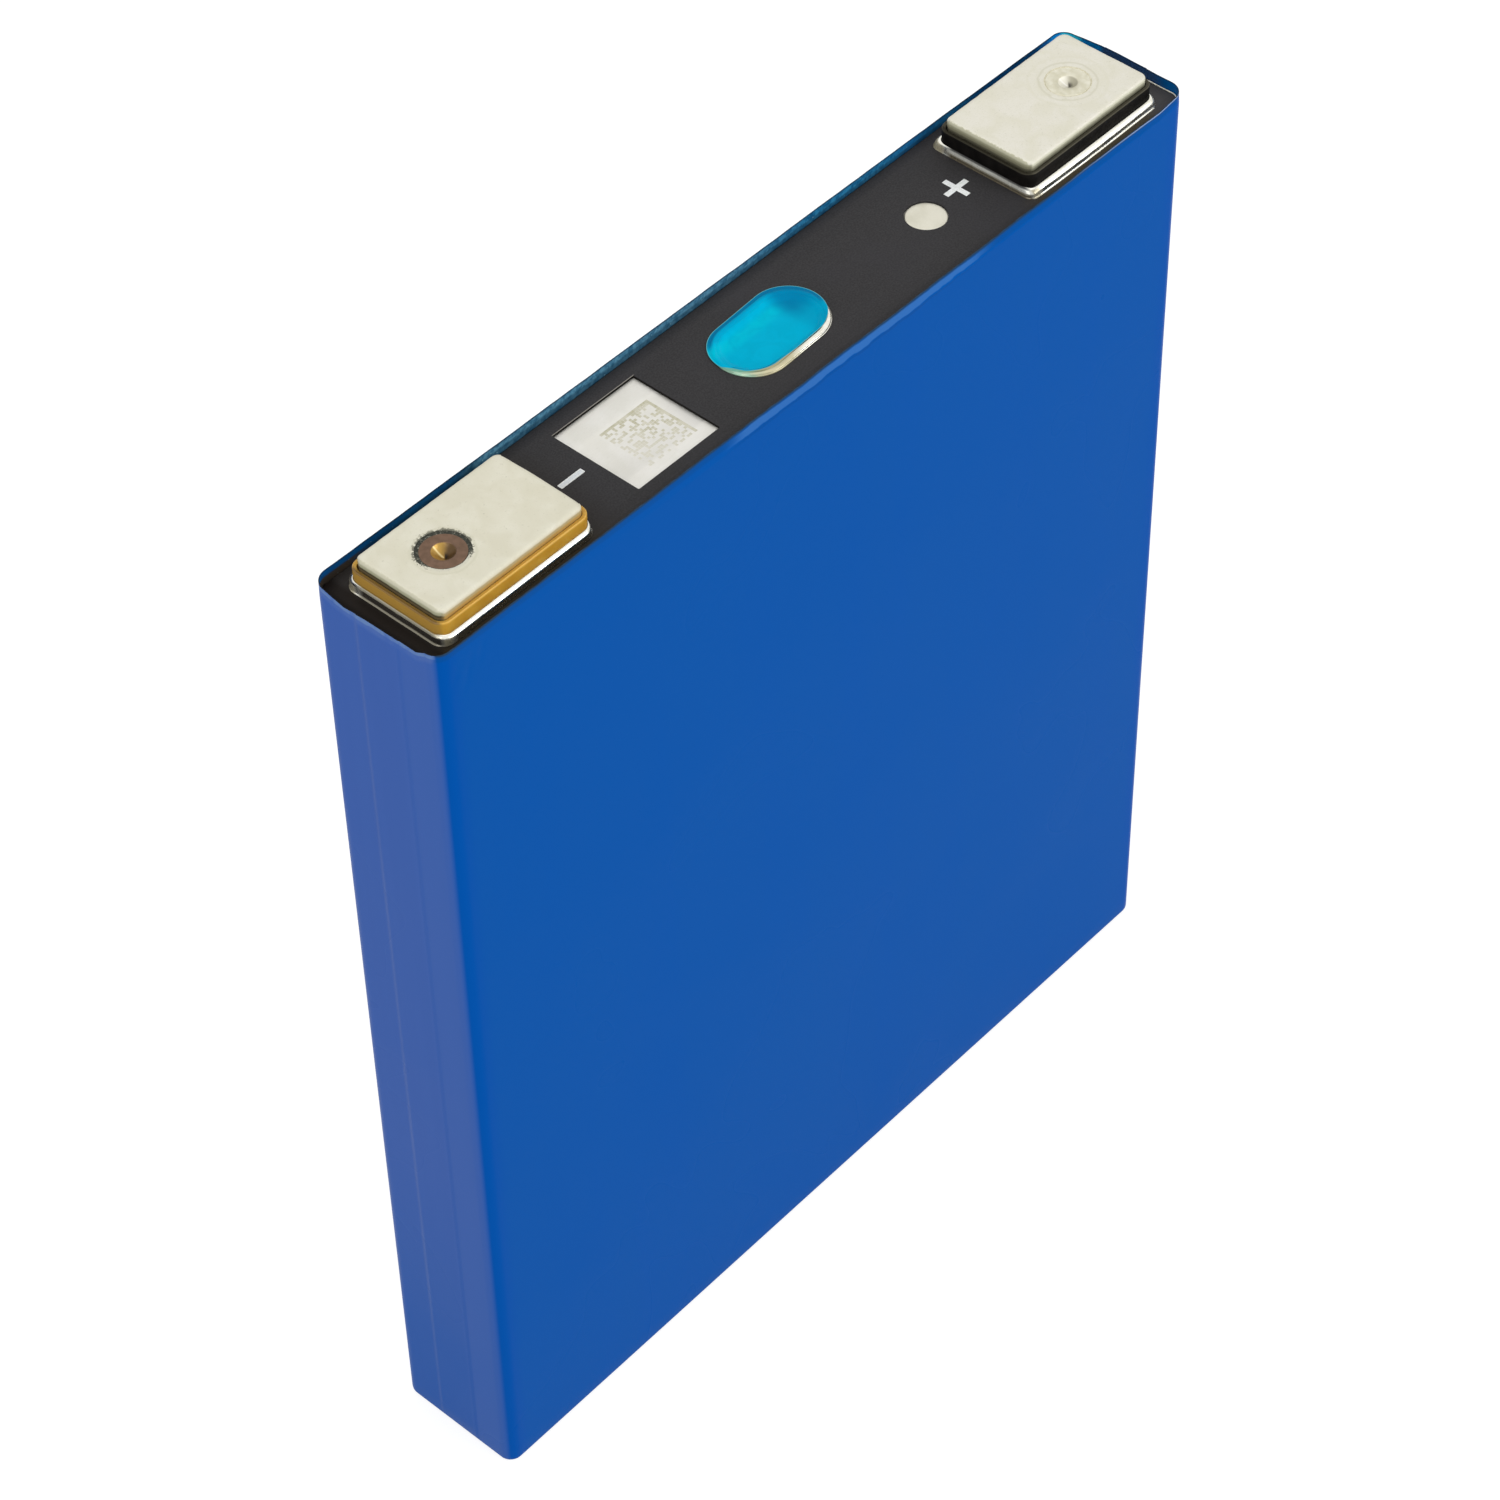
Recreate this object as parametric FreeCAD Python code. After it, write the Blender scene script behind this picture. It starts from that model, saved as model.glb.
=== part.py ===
import FreeCAD, Part
import math
import os

# Prismatic battery cell: a deep-drawn aluminium can with a welded lid, two riveted
# terminals, two flat-wound cores inside, and a film wrapped round the outside.
# Frame: origin at the centre of the underside, +Z up, X across the wide faces with the
# negative terminal at -X, and Y through the thickness. All sizes are in millimetres.

# Driving dimensions of the outside
CELL_WIDTH = 148.0  # X, over the film's double layer on the narrow faces
CELL_DEPTH = 22.0  # Y, over the film on the wide faces
TERMINAL_TOP = 173.5  # height of both terminal faces above the underside
LABEL_TOP = 168.7  # upper face of the top label

# Film
FILM = 0.15
FILM_CORNER = 2.2  # outer radius of the four upright corners
FILM_BASE_EDGE = 1.2  # outer radius of the edges round the underside
OVERLAP_LOW = -4.1  # Y limits of the film's double layer on each narrow face
OVERLAP_HIGH = 3.3

# Top edge of the film, cut by hand: (position, height above the label) along each side
RIM_MAX = 2.2
RIM_FRONT = [(-74.0, 2.2), (-68.0, 2.1), (-41.0, 1.85), (-7.0, 1.3), (30.0, 0.9), (68.0, 0.65), (74.0, 1.6)]
RIM_BACK = [(-74.0, 1.85), (74.0, 1.1)]
RIM_NEAR = [(-8.8, 2.2), (-7.0, 1.15), (1.5, 1.15), (5.4, 0.75), (7.5, 1.6), (8.8, 1.85)]
RIM_FAR = [(-8.8, 1.6), (4.0, 1.65), (8.8, 1.1)]

# Label and can
BASE_PAD = 0.3
BASE_PAD_INSET = 1.2
BASE_PAD_CORNER = 1.0
LABEL = 0.5
LABEL_SIZE = (146.8, 20.9)
LABEL_CORNER = 2.8
LABEL_GAP = 0.12  # between the label and the bead of each terminal
LABEL_VENT_GAP = 0.15
CAN_WALL = 0.8
CAN_BASE = 1.2
CAN_BASE_EDGE = 1.0
CAN_FLOOR_EDGE = 0.5
LID = 2.0
LID_LEDGE = 0.25  # width of the step in the can's mouth that carries the lid

# Terminals, the same on both sides except where named
TERMINAL_X = 56.7  # centre of each terminal plate from the middle of the cell
RIVET_X = 61.33  # centre of each rivet
PLATE_SIZE = (26.0, 15.3)
PLATE_THICKNESS = 2.5
PLATE_CORNER = 1.3
PLATE_TOP_EDGE = 0.35
BEAD_ROOT = 0.2
# The lid's raised bead reaches this far past each tray: toward -X, toward +X, both ways in Y
BEAD_REACH = {"neg": (0.45, 0.2, 0.6), "pos": (0.6, 0.2, 1.0)}
BEAD_CORNER = {"neg": 2.0, "pos": 1.4}
BEAD_HEIGHT = {"neg": 1.95, "pos": 1.4}
BEAD_EDGE = 0.25
TRAY_SIZE = (27.2, 16.5)  # insulating tray that carries each plate
TRAY_CORNER = 1.8
TRAY_EDGE = 0.15
TRAY_WALL = {"neg": 1.1, "pos": 1.15}  # the tray's wall rises this far up the plate
RIVET_HEAD = 3.15  # radii
RIVET_SHANK = 2.5
RIVET_FLANGE = 5.3
RIVET_BOSS = 3.0
RIVET_SUNK = 0.05  # the head lies this far under the terminal face
HEAD_DEPTH = 1.0
DIMPLE_RADIUS = 1.5
DIMPLE_DEPTH = 0.9
WELD_OUTER = {"neg": 3.8, "pos": 3.45}
WELD_DEPTH = 0.25
SEAL_COLLAR = 4.2
SEAL_FLANGE = 5.8
SEAL_THICKNESS = 0.8
SEAL_ABOVE_LID = 0.75
FLANGE_THICKNESS = 1.4
FIT = 0.05  # clearance between pieces that slip into each other

# Vent, filling port and code window
VENT_RIM = (19.5, 11.5)
VENT_RIM_BAND = 1.0
VENT_RIM_HEIGHT = 0.9
VENT_OPENING = (16.2, 8.0)
VENT_DISC = (18.4, 10.4)
VENT_DISC_RIM = 0.7
VENT_DISC_RIM_WIDTH = 1.2
VENT_DISC_WEB = 0.3
VENT_SCORE = 0.12  # depth of the scored line
VENT_SCORE_WIDTH = 0.3
VENT_SCORE_INSET = 0.8
VENT_FILM = (19.3, 11.2)
VENT_FILM_AT = (-0.15, 0.7)
VENT_FILM_THICKNESS = 0.1
VENT_DISH = (15.6, 7.8)
VENT_DISH_DEPTH = 0.7
VENT_DISH_EDGE = 0.5
VENT_GUARD = (22.0, 13.0)
VENT_GUARD_THICKNESS = 1.3
GUARD_SLOT = (1.4, 7.0)
GUARD_SLOT_CORNER = 0.6
GUARD_SLOT_STEP = 2.4
FILL_X = 31.3
FILL_DISC = 3.0
FILL_DISC_THICKNESS = 1.05
FILL_WINDOW = 3.15
FILL_SEAT = 0.8
FILL_HOLE = 1.5
PLUG_GAP = 0.02
PLUG_TIP = 0.25  # how far the plug's tip spreads past the hole
PLUG_TIP_HEIGHT = 0.8
FILL_DISC_EDGE = 0.15
CODE_WINDOW = (15.4, 15.2)
CODE_CORNER = 0.15
CODE_AT = (-25.95, 0.4)

# Polarity marks printed on the label
MARK_THICKNESS = 0.04
MARK_BAR = 0.87
MARK_CORNER = 0.12
PLUS_AT = (38.3, 0.6)
PLUS_ARM = 4.35
MINUS_AT = (-37.9, 0.6)
MINUS_LENGTH = 4.3

# Current collectors and the pieces between them and the lid
LOWER_INSULATOR = (30.0, 17.6)
LOWER_INSULATOR_CORNER = 1.5
INSULATOR_SKIRT = 0.8
COLLECTOR = 1.2
COLLECTOR_PAD = (26.0, 15.0)
COLLECTOR_INNER_END = 20.0  # X where the strip towards the middle ends
COLLECTOR_STRIP = 13.0
COLLECTOR_CORNER = 1.0
COLLECTOR_LAP = 4.0  # how far the strip runs on under the pad
FUSE_NECK = 6.0
FUSE_LENGTH = 3.0
FUSE_X = 42.0
TAB_STACK = 0.6
TAB_WIDTH = 15.0
TAB_X = 30.5
TAB_REACH = 4.2
TAB_BEND = 1.2
WELD_TAPE = 0.12
WELD_TAPE_HALF_WIDTH = 2.8

# Bag, spacer and wound cores
BAG = 0.15
BAG_GAP = 0.2
BAG_CORNER = 1.0
BAG_TOP = 161.5
SPACER = 1.0
SPACER_SIZE = (143.0, 18.6)
SPACER_CORNER = 2.0
SPACER_HOLE = 3.0
SPACER_HOLE_STEP = 14.5
CORE_BOTTOM = 3.1
CORE_TOP = 154.0
CORE_Y = 4.8  # middle of each core from the middle of the cell
CORE_HALF_WIDTH = 66.6  # from the middle to the centre of each round end
WINDING_START = 0.5  # inner radius of the first turn
WINDING_GAP = 0.01
LAYERS = [("anode", 0.17), ("separator", 0.08), ("cathode", 0.19), ("separator", 0.08)]
TURNS = 7
STRIP_INSET = {"anode": 1.0, "cathode": 2.0, "separator": 0.0}  # at top and bottom
CORE_TAPE = (26.0, 0.08, 50.0)

# Heights worked out from the dimensions above
LID_TOP = LABEL_TOP - LABEL
LID_BOTTOM = LID_TOP - LID
CAN_BOTTOM = FILM + BASE_PAD
CAN_FLOOR = CAN_BOTTOM + CAN_BASE
RIM_TOP = LABEL_TOP + RIM_MAX
PLATE_BOTTOM = TERMINAL_TOP - PLATE_THICKNESS
FLANGE_TOP = LID_BOTTOM - SEAL_THICKNESS
COLLECTOR_TOP = FLANGE_TOP - FLANGE_THICKNESS
COLLECTOR_BOTTOM = COLLECTOR_TOP - COLLECTOR
CAN_SIZE = (CELL_WIDTH - 4 * FILM, CELL_DEPTH - 2 * FILM)
CAN_CORNER = FILM_CORNER - FILM
BORE_SIZE = (CAN_SIZE[0] - 2 * CAN_WALL, CAN_SIZE[1] - 2 * CAN_WALL)
BORE_CORNER = CAN_CORNER - CAN_WALL
LID_SIZE = (BORE_SIZE[0] + 2 * LID_LEDGE, BORE_SIZE[1] + 2 * LID_LEDGE)
LID_CORNER = BORE_CORNER + LID_LEDGE
WINDING_PITCH = sum(thickness + WINDING_GAP for kind, thickness in LAYERS)
CORE_HALF_DEPTH = WINDING_START + (TURNS + 0.5) * WINDING_PITCH - WINDING_GAP
SIDES = {"neg": -1, "pos": 1}
CORES = {"front": -1, "back": 1}


def vec(x, y, z=0.0):
    return FreeCAD.Vector(x, y, z)


def outline(size, corner, at=(0.0, 0.0), z=0.0):
    """Flat face: a rectangle of the given size with round corners, centred on at."""
    arcs = []
    for start, side_x, side_y in ((0, 1, 1), (90, -1, 1), (180, -1, -1), (270, 1, -1)):
        middle_x = at[0] + side_x * (size[0] / 2 - corner)
        middle_y = at[1] + side_y * (size[1] / 2 - corner)
        points = []
        for turn in (start, start + 45, start + 90):
            angle = math.radians(turn)
            x = middle_x + corner * math.cos(angle)
            y = middle_y + corner * math.sin(angle)
            points.append(vec(x, y, z))
        arcs.append(Part.Arc(*points))
    edges = []
    for index, arc in enumerate(arcs):
        edges.append(arc.toShape())
        following = arcs[(index + 1) % len(arcs)]
        if arc.EndPoint.distanceToPoint(following.StartPoint) > 1e-6:
            edges.append(Part.makeLine(arc.EndPoint, following.StartPoint))
    return Part.Face(Part.Wire(edges))


def block(size, corner, bottom, top, at=(0.0, 0.0)):
    """Upright prism with round corners between two heights."""
    return outline(size, corner, at, bottom).extrude(vec(0, 0, top - bottom))


def stadium(size, bottom, top, at=(0.0, 0.0)):
    """Upright prism with fully round ends."""
    return block(size, size[1] / 2 - 1e-4, bottom, top, at)


def shrunk(size, by):
    return (size[0] - 2 * by, size[1] - 2 * by)


def disc(radius, bottom, top, at=(0.0, 0.0)):
    return Part.makeCylinder(radius, top - bottom, vec(at[0], at[1], bottom))


def ring(outer, inner, bottom, top, at):
    return disc(outer, bottom, top, at).cut(disc(inner, bottom, top, at))


def box(low, high):
    size = [high[i] - low[i] for i in range(3)]
    return Part.makeBox(size[0], size[1], size[2], vec(*low))


def prism_along(axis, points, start, length):
    """Prism with a closed outline of (across, height) points, running along X or Y."""
    if axis == "X":
        corners = [vec(start, across, z) for across, z in points]
        run = vec(length, 0, 0)
    else:
        corners = [vec(across, start, z) for across, z in points]
        run = vec(0, length, 0)
    return Part.Face(Part.makePolygon(corners + corners[:1])).extrude(run)


def edges_at(shape, z):
    """Edges of a shape that lie wholly at one height."""
    found = []
    for edge in shape.Edges:
        bounds = edge.BoundBox
        if abs(bounds.ZMin - z) < 1e-4 and abs(bounds.ZMax - z) < 1e-4:
            found.append(edge)
    return found


def soften(shape, z, radius):
    """Round every edge that lies at one height."""
    return shape.makeFillet(radius, edges_at(shape, z))


# ---- Outside ----


def film_trim():
    """Space above the film's uneven top edge: one prism over each of its four sides."""
    inside = CELL_DEPTH / 2 - FILM_CORNER
    outside = CELL_DEPTH / 2 + 1
    half_width = CELL_WIDTH / 2
    sides = [
        ("Y", RIM_FRONT, -outside, outside - inside),
        ("Y", RIM_BACK, inside, outside - inside),
        ("X", RIM_NEAR, -half_width - 1, FILM_CORNER + 1),
        ("X", RIM_FAR, half_width - FILM_CORNER, FILM_CORNER + 1),
    ]
    above = RIM_TOP + 1
    prisms = []
    for axis, rim, start, length in sides:
        cut = [(along, LABEL_TOP + height) for along, height in rim]
        prisms.append(prism_along(axis, cut + [(rim[-1][0], above), (rim[0][0], above)], start, length))
    return prisms


def wrap_film():
    """Film folded round the can: a skin closed at the base, doubled on the narrow faces."""
    outer = (CAN_SIZE[0] + 2 * FILM, CELL_DEPTH)
    skin = soften(block(outer, FILM_CORNER, 0, RIM_TOP), 0, FILM_BASE_EDGE)
    hollow = soften(block(CAN_SIZE, CAN_CORNER, FILM, RIM_TOP + 1), FILM, FILM_BASE_EDGE - FILM)
    for side in (-1, 1):
        ends = sorted((side * (outer[0] / 2 - 0.05), side * CELL_WIDTH / 2))
        flap = box((ends[0], OVERLAP_LOW, FILM_BASE_EDGE), (ends[1], OVERLAP_HIGH, RIM_TOP))
        skin = skin.fuse(flap)
    return skin.cut(hollow).cut(film_trim()).removeSplitter()


def base_pad():
    """Stiff sheet between the can's base and the film."""
    return block(shrunk(CAN_SIZE, BASE_PAD_INSET), BASE_PAD_CORNER, FILM, CAN_BOTTOM)


def can():
    """Deep-drawn can with a step in its mouth for the lid."""
    body = soften(block(CAN_SIZE, CAN_CORNER, CAN_BOTTOM, LID_TOP), CAN_BOTTOM, CAN_BASE_EDGE)
    bore = soften(block(BORE_SIZE, BORE_CORNER, CAN_FLOOR, LID_TOP + 1), CAN_FLOOR, CAN_FLOOR_EDGE)
    mouth = block(LID_SIZE, LID_CORNER, LID_BOTTOM, LID_TOP + 1)
    return body.cut(bore).cut(mouth)


def bead_plan(polarity):
    """Size and centre of the bead round one terminal's tray."""
    low_x, high_x, both_y = BEAD_REACH[polarity]
    size = (TRAY_SIZE[0] + low_x + high_x, TRAY_SIZE[1] + 2 * both_y)
    return size, (SIDES[polarity] * TERMINAL_X + (high_x - low_x) / 2, 0)


def terminal_bead(polarity):
    """Collar of the lid that holds one terminal's tray, rooted in the lid's upper face."""
    size, at = bead_plan(polarity)
    root = LID_TOP - BEAD_ROOT
    top = LID_TOP + BEAD_HEIGHT[polarity]
    outside = soften(block(size, BEAD_CORNER[polarity], root, top, at), top, BEAD_EDGE)
    seat = shrunk(TRAY_SIZE, -FIT)
    return outside.cut(block(seat, TRAY_CORNER + FIT, root, top, (SIDES[polarity] * TERMINAL_X, 0)))


def vent_bead():
    """Raised ridge round the vent opening, rooted in the lid's upper face."""
    root = LID_TOP - BEAD_ROOT
    top = LID_TOP + VENT_RIM_HEIGHT
    outside = soften(stadium(VENT_RIM, root, top), top, VENT_RIM_BAND / 2)
    return outside.cut(stadium(shrunk(VENT_RIM, VENT_RIM_BAND), root, top))


def lid_plate():
    """Lid with its pressed beads, terminal holes, vent opening and filling port."""
    lid = block(LID_SIZE, LID_CORNER, LID_BOTTOM, LID_TOP)
    for polarity, side in SIDES.items():
        lid = lid.fuse(terminal_bead(polarity))
        lid = lid.cut(disc(SEAL_COLLAR + FIT, LID_BOTTOM, LID_TOP, (side * RIVET_X, 0)))
    lid = lid.fuse(vent_bead())
    lid = lid.cut(stadium(VENT_OPENING, LID_BOTTOM, LID_TOP))
    lid = lid.cut(stadium(VENT_DISC, LID_BOTTOM, LID_BOTTOM + VENT_DISC_RIM))
    lid = lid.cut(disc(FILL_HOLE, LID_BOTTOM, LID_TOP, (FILL_X, 0)))
    lid = lid.cut(disc(FILL_DISC + FIT, LID_TOP - FILL_SEAT, LID_TOP, (FILL_X, 0)))
    return lid.removeSplitter()


def top_label():
    """Insulating sheet stuck to the lid, with a window for each thing that stands through it."""
    label = block(LABEL_SIZE, LABEL_CORNER, LID_TOP, LABEL_TOP)
    for polarity in SIDES:
        size, at = bead_plan(polarity)
        corner = BEAD_CORNER[polarity] + LABEL_GAP
        label = label.cut(block(shrunk(size, -LABEL_GAP), corner, LID_TOP, LABEL_TOP, at))
    label = label.cut(stadium(shrunk(VENT_RIM, -LABEL_VENT_GAP), LID_TOP, LABEL_TOP))
    label = label.cut(disc(FILL_WINDOW, LID_TOP, LABEL_TOP, (FILL_X, 0)))
    return label.cut(block(CODE_WINDOW, CODE_CORNER, LID_TOP, LABEL_TOP, CODE_AT))


def mark_bar(length, width, at):
    return block((length, width), MARK_CORNER, LABEL_TOP, LABEL_TOP + MARK_THICKNESS, at)


def plus_mark():
    return mark_bar(PLUS_ARM, MARK_BAR, PLUS_AT).fuse(mark_bar(MARK_BAR, PLUS_ARM, PLUS_AT)).removeSplitter()


def minus_mark():
    return mark_bar(MINUS_LENGTH, MARK_BAR, MINUS_AT)


# ---- Vent and filling port ----


def vent_disc():
    """Burst membrane: a thick rim round a thin web with a scored line."""
    bottom = LID_BOTTOM
    top = LID_BOTTOM + VENT_DISC_RIM
    web = shrunk(VENT_DISC, VENT_DISC_RIM_WIDTH)
    score = shrunk(web, VENT_SCORE_INSET)
    disc_body = stadium(shrunk(VENT_DISC, FIT), bottom, top)
    disc_body = disc_body.cut(stadium(web, bottom + VENT_DISC_WEB, top))
    groove = stadium(score, bottom + VENT_DISC_WEB - VENT_SCORE, top)
    groove = groove.cut(stadium(shrunk(score, VENT_SCORE_WIDTH), bottom, top))
    return disc_body.cut(groove)


def vent_film():
    """Thin cover stuck on the vent's rim, dished into the opening."""
    seat = LID_TOP + VENT_RIM_HEIGHT
    top = seat + VENT_FILM_THICKNESS
    floor = top - VENT_DISH_DEPTH
    cup = stadium(VENT_DISH, floor - VENT_FILM_THICKNESS, top, VENT_FILM_AT)
    cup = soften(cup, floor - VENT_FILM_THICKNESS, VENT_DISH_EDGE)
    hollow = stadium(shrunk(VENT_DISH, VENT_FILM_THICKNESS), floor, top, VENT_FILM_AT)
    hollow = soften(hollow, floor, VENT_DISH_EDGE - VENT_FILM_THICKNESS)
    return stadium(VENT_FILM, seat, top, VENT_FILM_AT).fuse(cup).cut(hollow).removeSplitter()


def vent_guard():
    """Slotted plate under the vent that keeps the cores off the membrane."""
    bottom = LID_BOTTOM - VENT_GUARD_THICKNESS
    guard = stadium(VENT_GUARD, bottom, LID_BOTTOM)
    slots = []
    for index in range(-3, 4):
        at = (index * GUARD_SLOT_STEP, 0)
        slots.append(block(GUARD_SLOT, GUARD_SLOT_CORNER, bottom, LID_BOTTOM, at))
    return guard.cut(slots)


def fill_plug():
    """Rubber nail that closes the filling hole."""
    seat = LID_TOP - FILL_SEAT
    bottom = LID_BOTTOM - PLUG_TIP_HEIGHT
    stem = disc(FILL_HOLE - PLUG_GAP, bottom, seat, (FILL_X, 0))
    tip = disc(FILL_HOLE + PLUG_TIP, bottom, LID_BOTTOM, (FILL_X, 0))
    return stem.fuse(tip).removeSplitter()


def fill_seal_disc():
    """Round metal disc welded over the plug."""
    seat = LID_TOP - FILL_SEAT
    top = seat + FILL_DISC_THICKNESS
    return soften(disc(FILL_DISC, seat, top, (FILL_X, 0)), top, FILL_DISC_EDGE)


# ---- Terminals, one of each piece per side ----


def terminal_plate(polarity):
    """Flat contact plate with a countersunk rivet hole and a shallow weld groove."""
    side = SIDES[polarity]
    rivet = (side * RIVET_X, 0)
    plate = block(PLATE_SIZE, PLATE_CORNER, PLATE_BOTTOM, TERMINAL_TOP, (side * TERMINAL_X, 0))
    plate = soften(plate, TERMINAL_TOP, PLATE_TOP_EDGE)
    plate = plate.cut(disc(RIVET_SHANK, PLATE_BOTTOM, TERMINAL_TOP, rivet))
    plate = plate.cut(disc(RIVET_HEAD, TERMINAL_TOP - HEAD_DEPTH, TERMINAL_TOP, rivet))
    return plate.cut(disc(WELD_OUTER[polarity], TERMINAL_TOP - WELD_DEPTH, TERMINAL_TOP, rivet))


def rivet(polarity):
    """Terminal post: dimpled head, shank, sealing flange and the boss for the collector."""
    at = (SIDES[polarity] * RIVET_X, 0)
    top = TERMINAL_TOP - RIVET_SUNK
    post = disc(RIVET_HEAD, TERMINAL_TOP - HEAD_DEPTH, top, at)
    post = post.fuse(disc(RIVET_SHANK, COLLECTOR_TOP, top, at))
    post = post.fuse(disc(RIVET_FLANGE, COLLECTOR_TOP, FLANGE_TOP, at))
    post = post.fuse(disc(RIVET_BOSS, COLLECTOR_BOTTOM, COLLECTOR_TOP, at))
    dimple = Part.makeCone(0, DIMPLE_RADIUS, DIMPLE_DEPTH, vec(at[0], at[1], top - DIMPLE_DEPTH))
    return post.cut(dimple).removeSplitter()


def weld_bead(polarity):
    """Ring of melted metal that joins the rivet's head to the plate."""
    at = (SIDES[polarity] * RIVET_X, 0)
    top = TERMINAL_TOP - RIVET_SUNK / 2
    return ring(WELD_OUTER[polarity], RIVET_HEAD, TERMINAL_TOP - WELD_DEPTH, top, at)


def rivet_passage(at):
    """Hole for the shank, wider where the seal's collar comes up through the lid."""
    collar = disc(SEAL_COLLAR + FIT, LID_TOP, LID_TOP + SEAL_ABOVE_LID + FIT, at)
    return disc(RIVET_SHANK, LID_TOP, TERMINAL_TOP, at).fuse(collar)


def upper_insulator(polarity):
    """Tray that fills the lid's bead and holds the terminal plate clear of the lid."""
    side = SIDES[polarity]
    at = (side * TERMINAL_X, 0)
    top = PLATE_BOTTOM + TRAY_WALL[polarity]
    tray = soften(block(TRAY_SIZE, TRAY_CORNER, LID_TOP, top, at), top, TRAY_EDGE)
    tray = tray.cut(block(PLATE_SIZE, PLATE_CORNER, PLATE_BOTTOM, top, at))
    return tray.cut(rivet_passage((side * RIVET_X, 0)))


def seal_ring(polarity):
    """Rubber gasket: a flange squeezed under the lid and a collar through it."""
    at = (SIDES[polarity] * RIVET_X, 0)
    gasket = ring(SEAL_COLLAR, RIVET_SHANK, LID_BOTTOM, LID_TOP + SEAL_ABOVE_LID, at)
    return gasket.fuse(ring(SEAL_FLANGE, RIVET_SHANK, FLANGE_TOP, LID_BOTTOM, at)).removeSplitter()


def lower_insulator(polarity):
    """Plastic plate under the lid with a skirt round three sides of the collector."""
    side = SIDES[polarity]
    at = (side * TERMINAL_X, 0)
    plate = block(LOWER_INSULATOR, LOWER_INSULATOR_CORNER, COLLECTOR_BOTTOM, LID_BOTTOM, at)
    inside = shrunk(LOWER_INSULATOR, INSULATOR_SKIRT)
    pocket_corner = LOWER_INSULATOR_CORNER - INSULATOR_SKIRT
    pocket = block(inside, pocket_corner, COLLECTOR_BOTTOM, COLLECTOR_TOP, at)
    inner_edge = TERMINAL_X - LOWER_INSULATOR[0] / 2
    ends = sorted((side * (inner_edge - 1), side * (inner_edge + 3)))
    half_opening = inside[1] / 2
    mouth = box((ends[0], -half_opening, COLLECTOR_BOTTOM), (ends[1], half_opening, COLLECTOR_TOP))
    hole = disc(SEAL_FLANGE + FIT, COLLECTOR_TOP, LID_BOTTOM, (side * RIVET_X, 0))
    return plate.cut(pocket).cut(mouth).cut(hole)


def collector(polarity):
    """Metal strip from the rivet's boss to the place where the core tabs are welded."""
    side = SIDES[polarity]
    pad = block(COLLECTOR_PAD, COLLECTOR_CORNER, COLLECTOR_BOTTOM, COLLECTOR_TOP, (side * TERMINAL_X, 0))
    outer_end = TERMINAL_X - COLLECTOR_PAD[0] / 2 + COLLECTOR_LAP
    length = outer_end - COLLECTOR_INNER_END
    middle = side * (outer_end + COLLECTOR_INNER_END) / 2
    strip_size = (length, COLLECTOR_STRIP)
    strip = block(strip_size, COLLECTOR_CORNER, COLLECTOR_BOTTOM, COLLECTOR_TOP, (middle, 0))
    hole = disc(RIVET_BOSS, COLLECTOR_BOTTOM, COLLECTOR_TOP, (side * RIVET_X, 0))
    whole = pad.fuse(strip).cut(hole).removeSplitter()
    if polarity == "pos":
        for edge in (-1, 1):
            middle_y = edge * (FUSE_NECK / 2 + COLLECTOR_STRIP / 2)
            size = (FUSE_LENGTH, COLLECTOR_STRIP)
            notch = block(size, COLLECTOR_CORNER, COLLECTOR_BOTTOM, COLLECTOR_TOP, (FUSE_X, middle_y))
            whole = whole.cut(notch)
    return whole


# ---- Wound cores and what holds them ----


def insulating_bag():
    """Open-topped plastic bag between the cores and the can."""
    size = shrunk(BORE_SIZE, BAG_GAP)
    bag = soften(block(size, BAG_CORNER, CAN_FLOOR, BAG_TOP), CAN_FLOOR, CAN_FLOOR_EDGE)
    floor = CAN_FLOOR + BAG
    hollow = block(shrunk(size, BAG), BAG_CORNER - BAG, floor, BAG_TOP)
    return bag.cut(soften(hollow, floor, CAN_FLOOR_EDGE - BAG))


def core_spacer():
    """Plate under the cores with holes that let the electrolyte through."""
    bottom = CAN_FLOOR + BAG
    spacer = block(SPACER_SIZE, SPACER_CORNER, bottom, bottom + SPACER)
    holes = []
    for index in range(-4, 5):
        holes.append(disc(SPACER_HOLE, bottom, bottom + SPACER, (index * SPACER_HOLE_STEP, 0)))
    return spacer.cut(holes)


def spiral_edges(radius):
    """Flat spiral: half circles about two centres, joined by straight runs along X.

    The left centre lies half a pitch lower, so each half turn grows by half a pitch
    and every straight run is tangent to the arcs at both of its ends.
    """
    edges = []
    right = (CORE_HALF_WIDTH, 0.0)
    left = (-CORE_HALF_WIDTH, -WINDING_PITCH / 2)
    for turn in range(TURNS):
        right_radius = radius + turn * WINDING_PITCH
        left_radius = right_radius + WINDING_PITCH / 2
        for centre, size, side in ((right, right_radius, 1), (left, left_radius, -1)):
            start = vec(centre[0], centre[1] - side * size)
            middle = vec(centre[0] + side * size, centre[1])
            end = vec(centre[0], centre[1] + side * size)
            if edges:
                edges.append(Part.makeLine(edges[-1].Curve.value(edges[-1].LastParameter), start))
            edges.append(Part.Arc(start, middle, end).toShape())
    return edges


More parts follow.
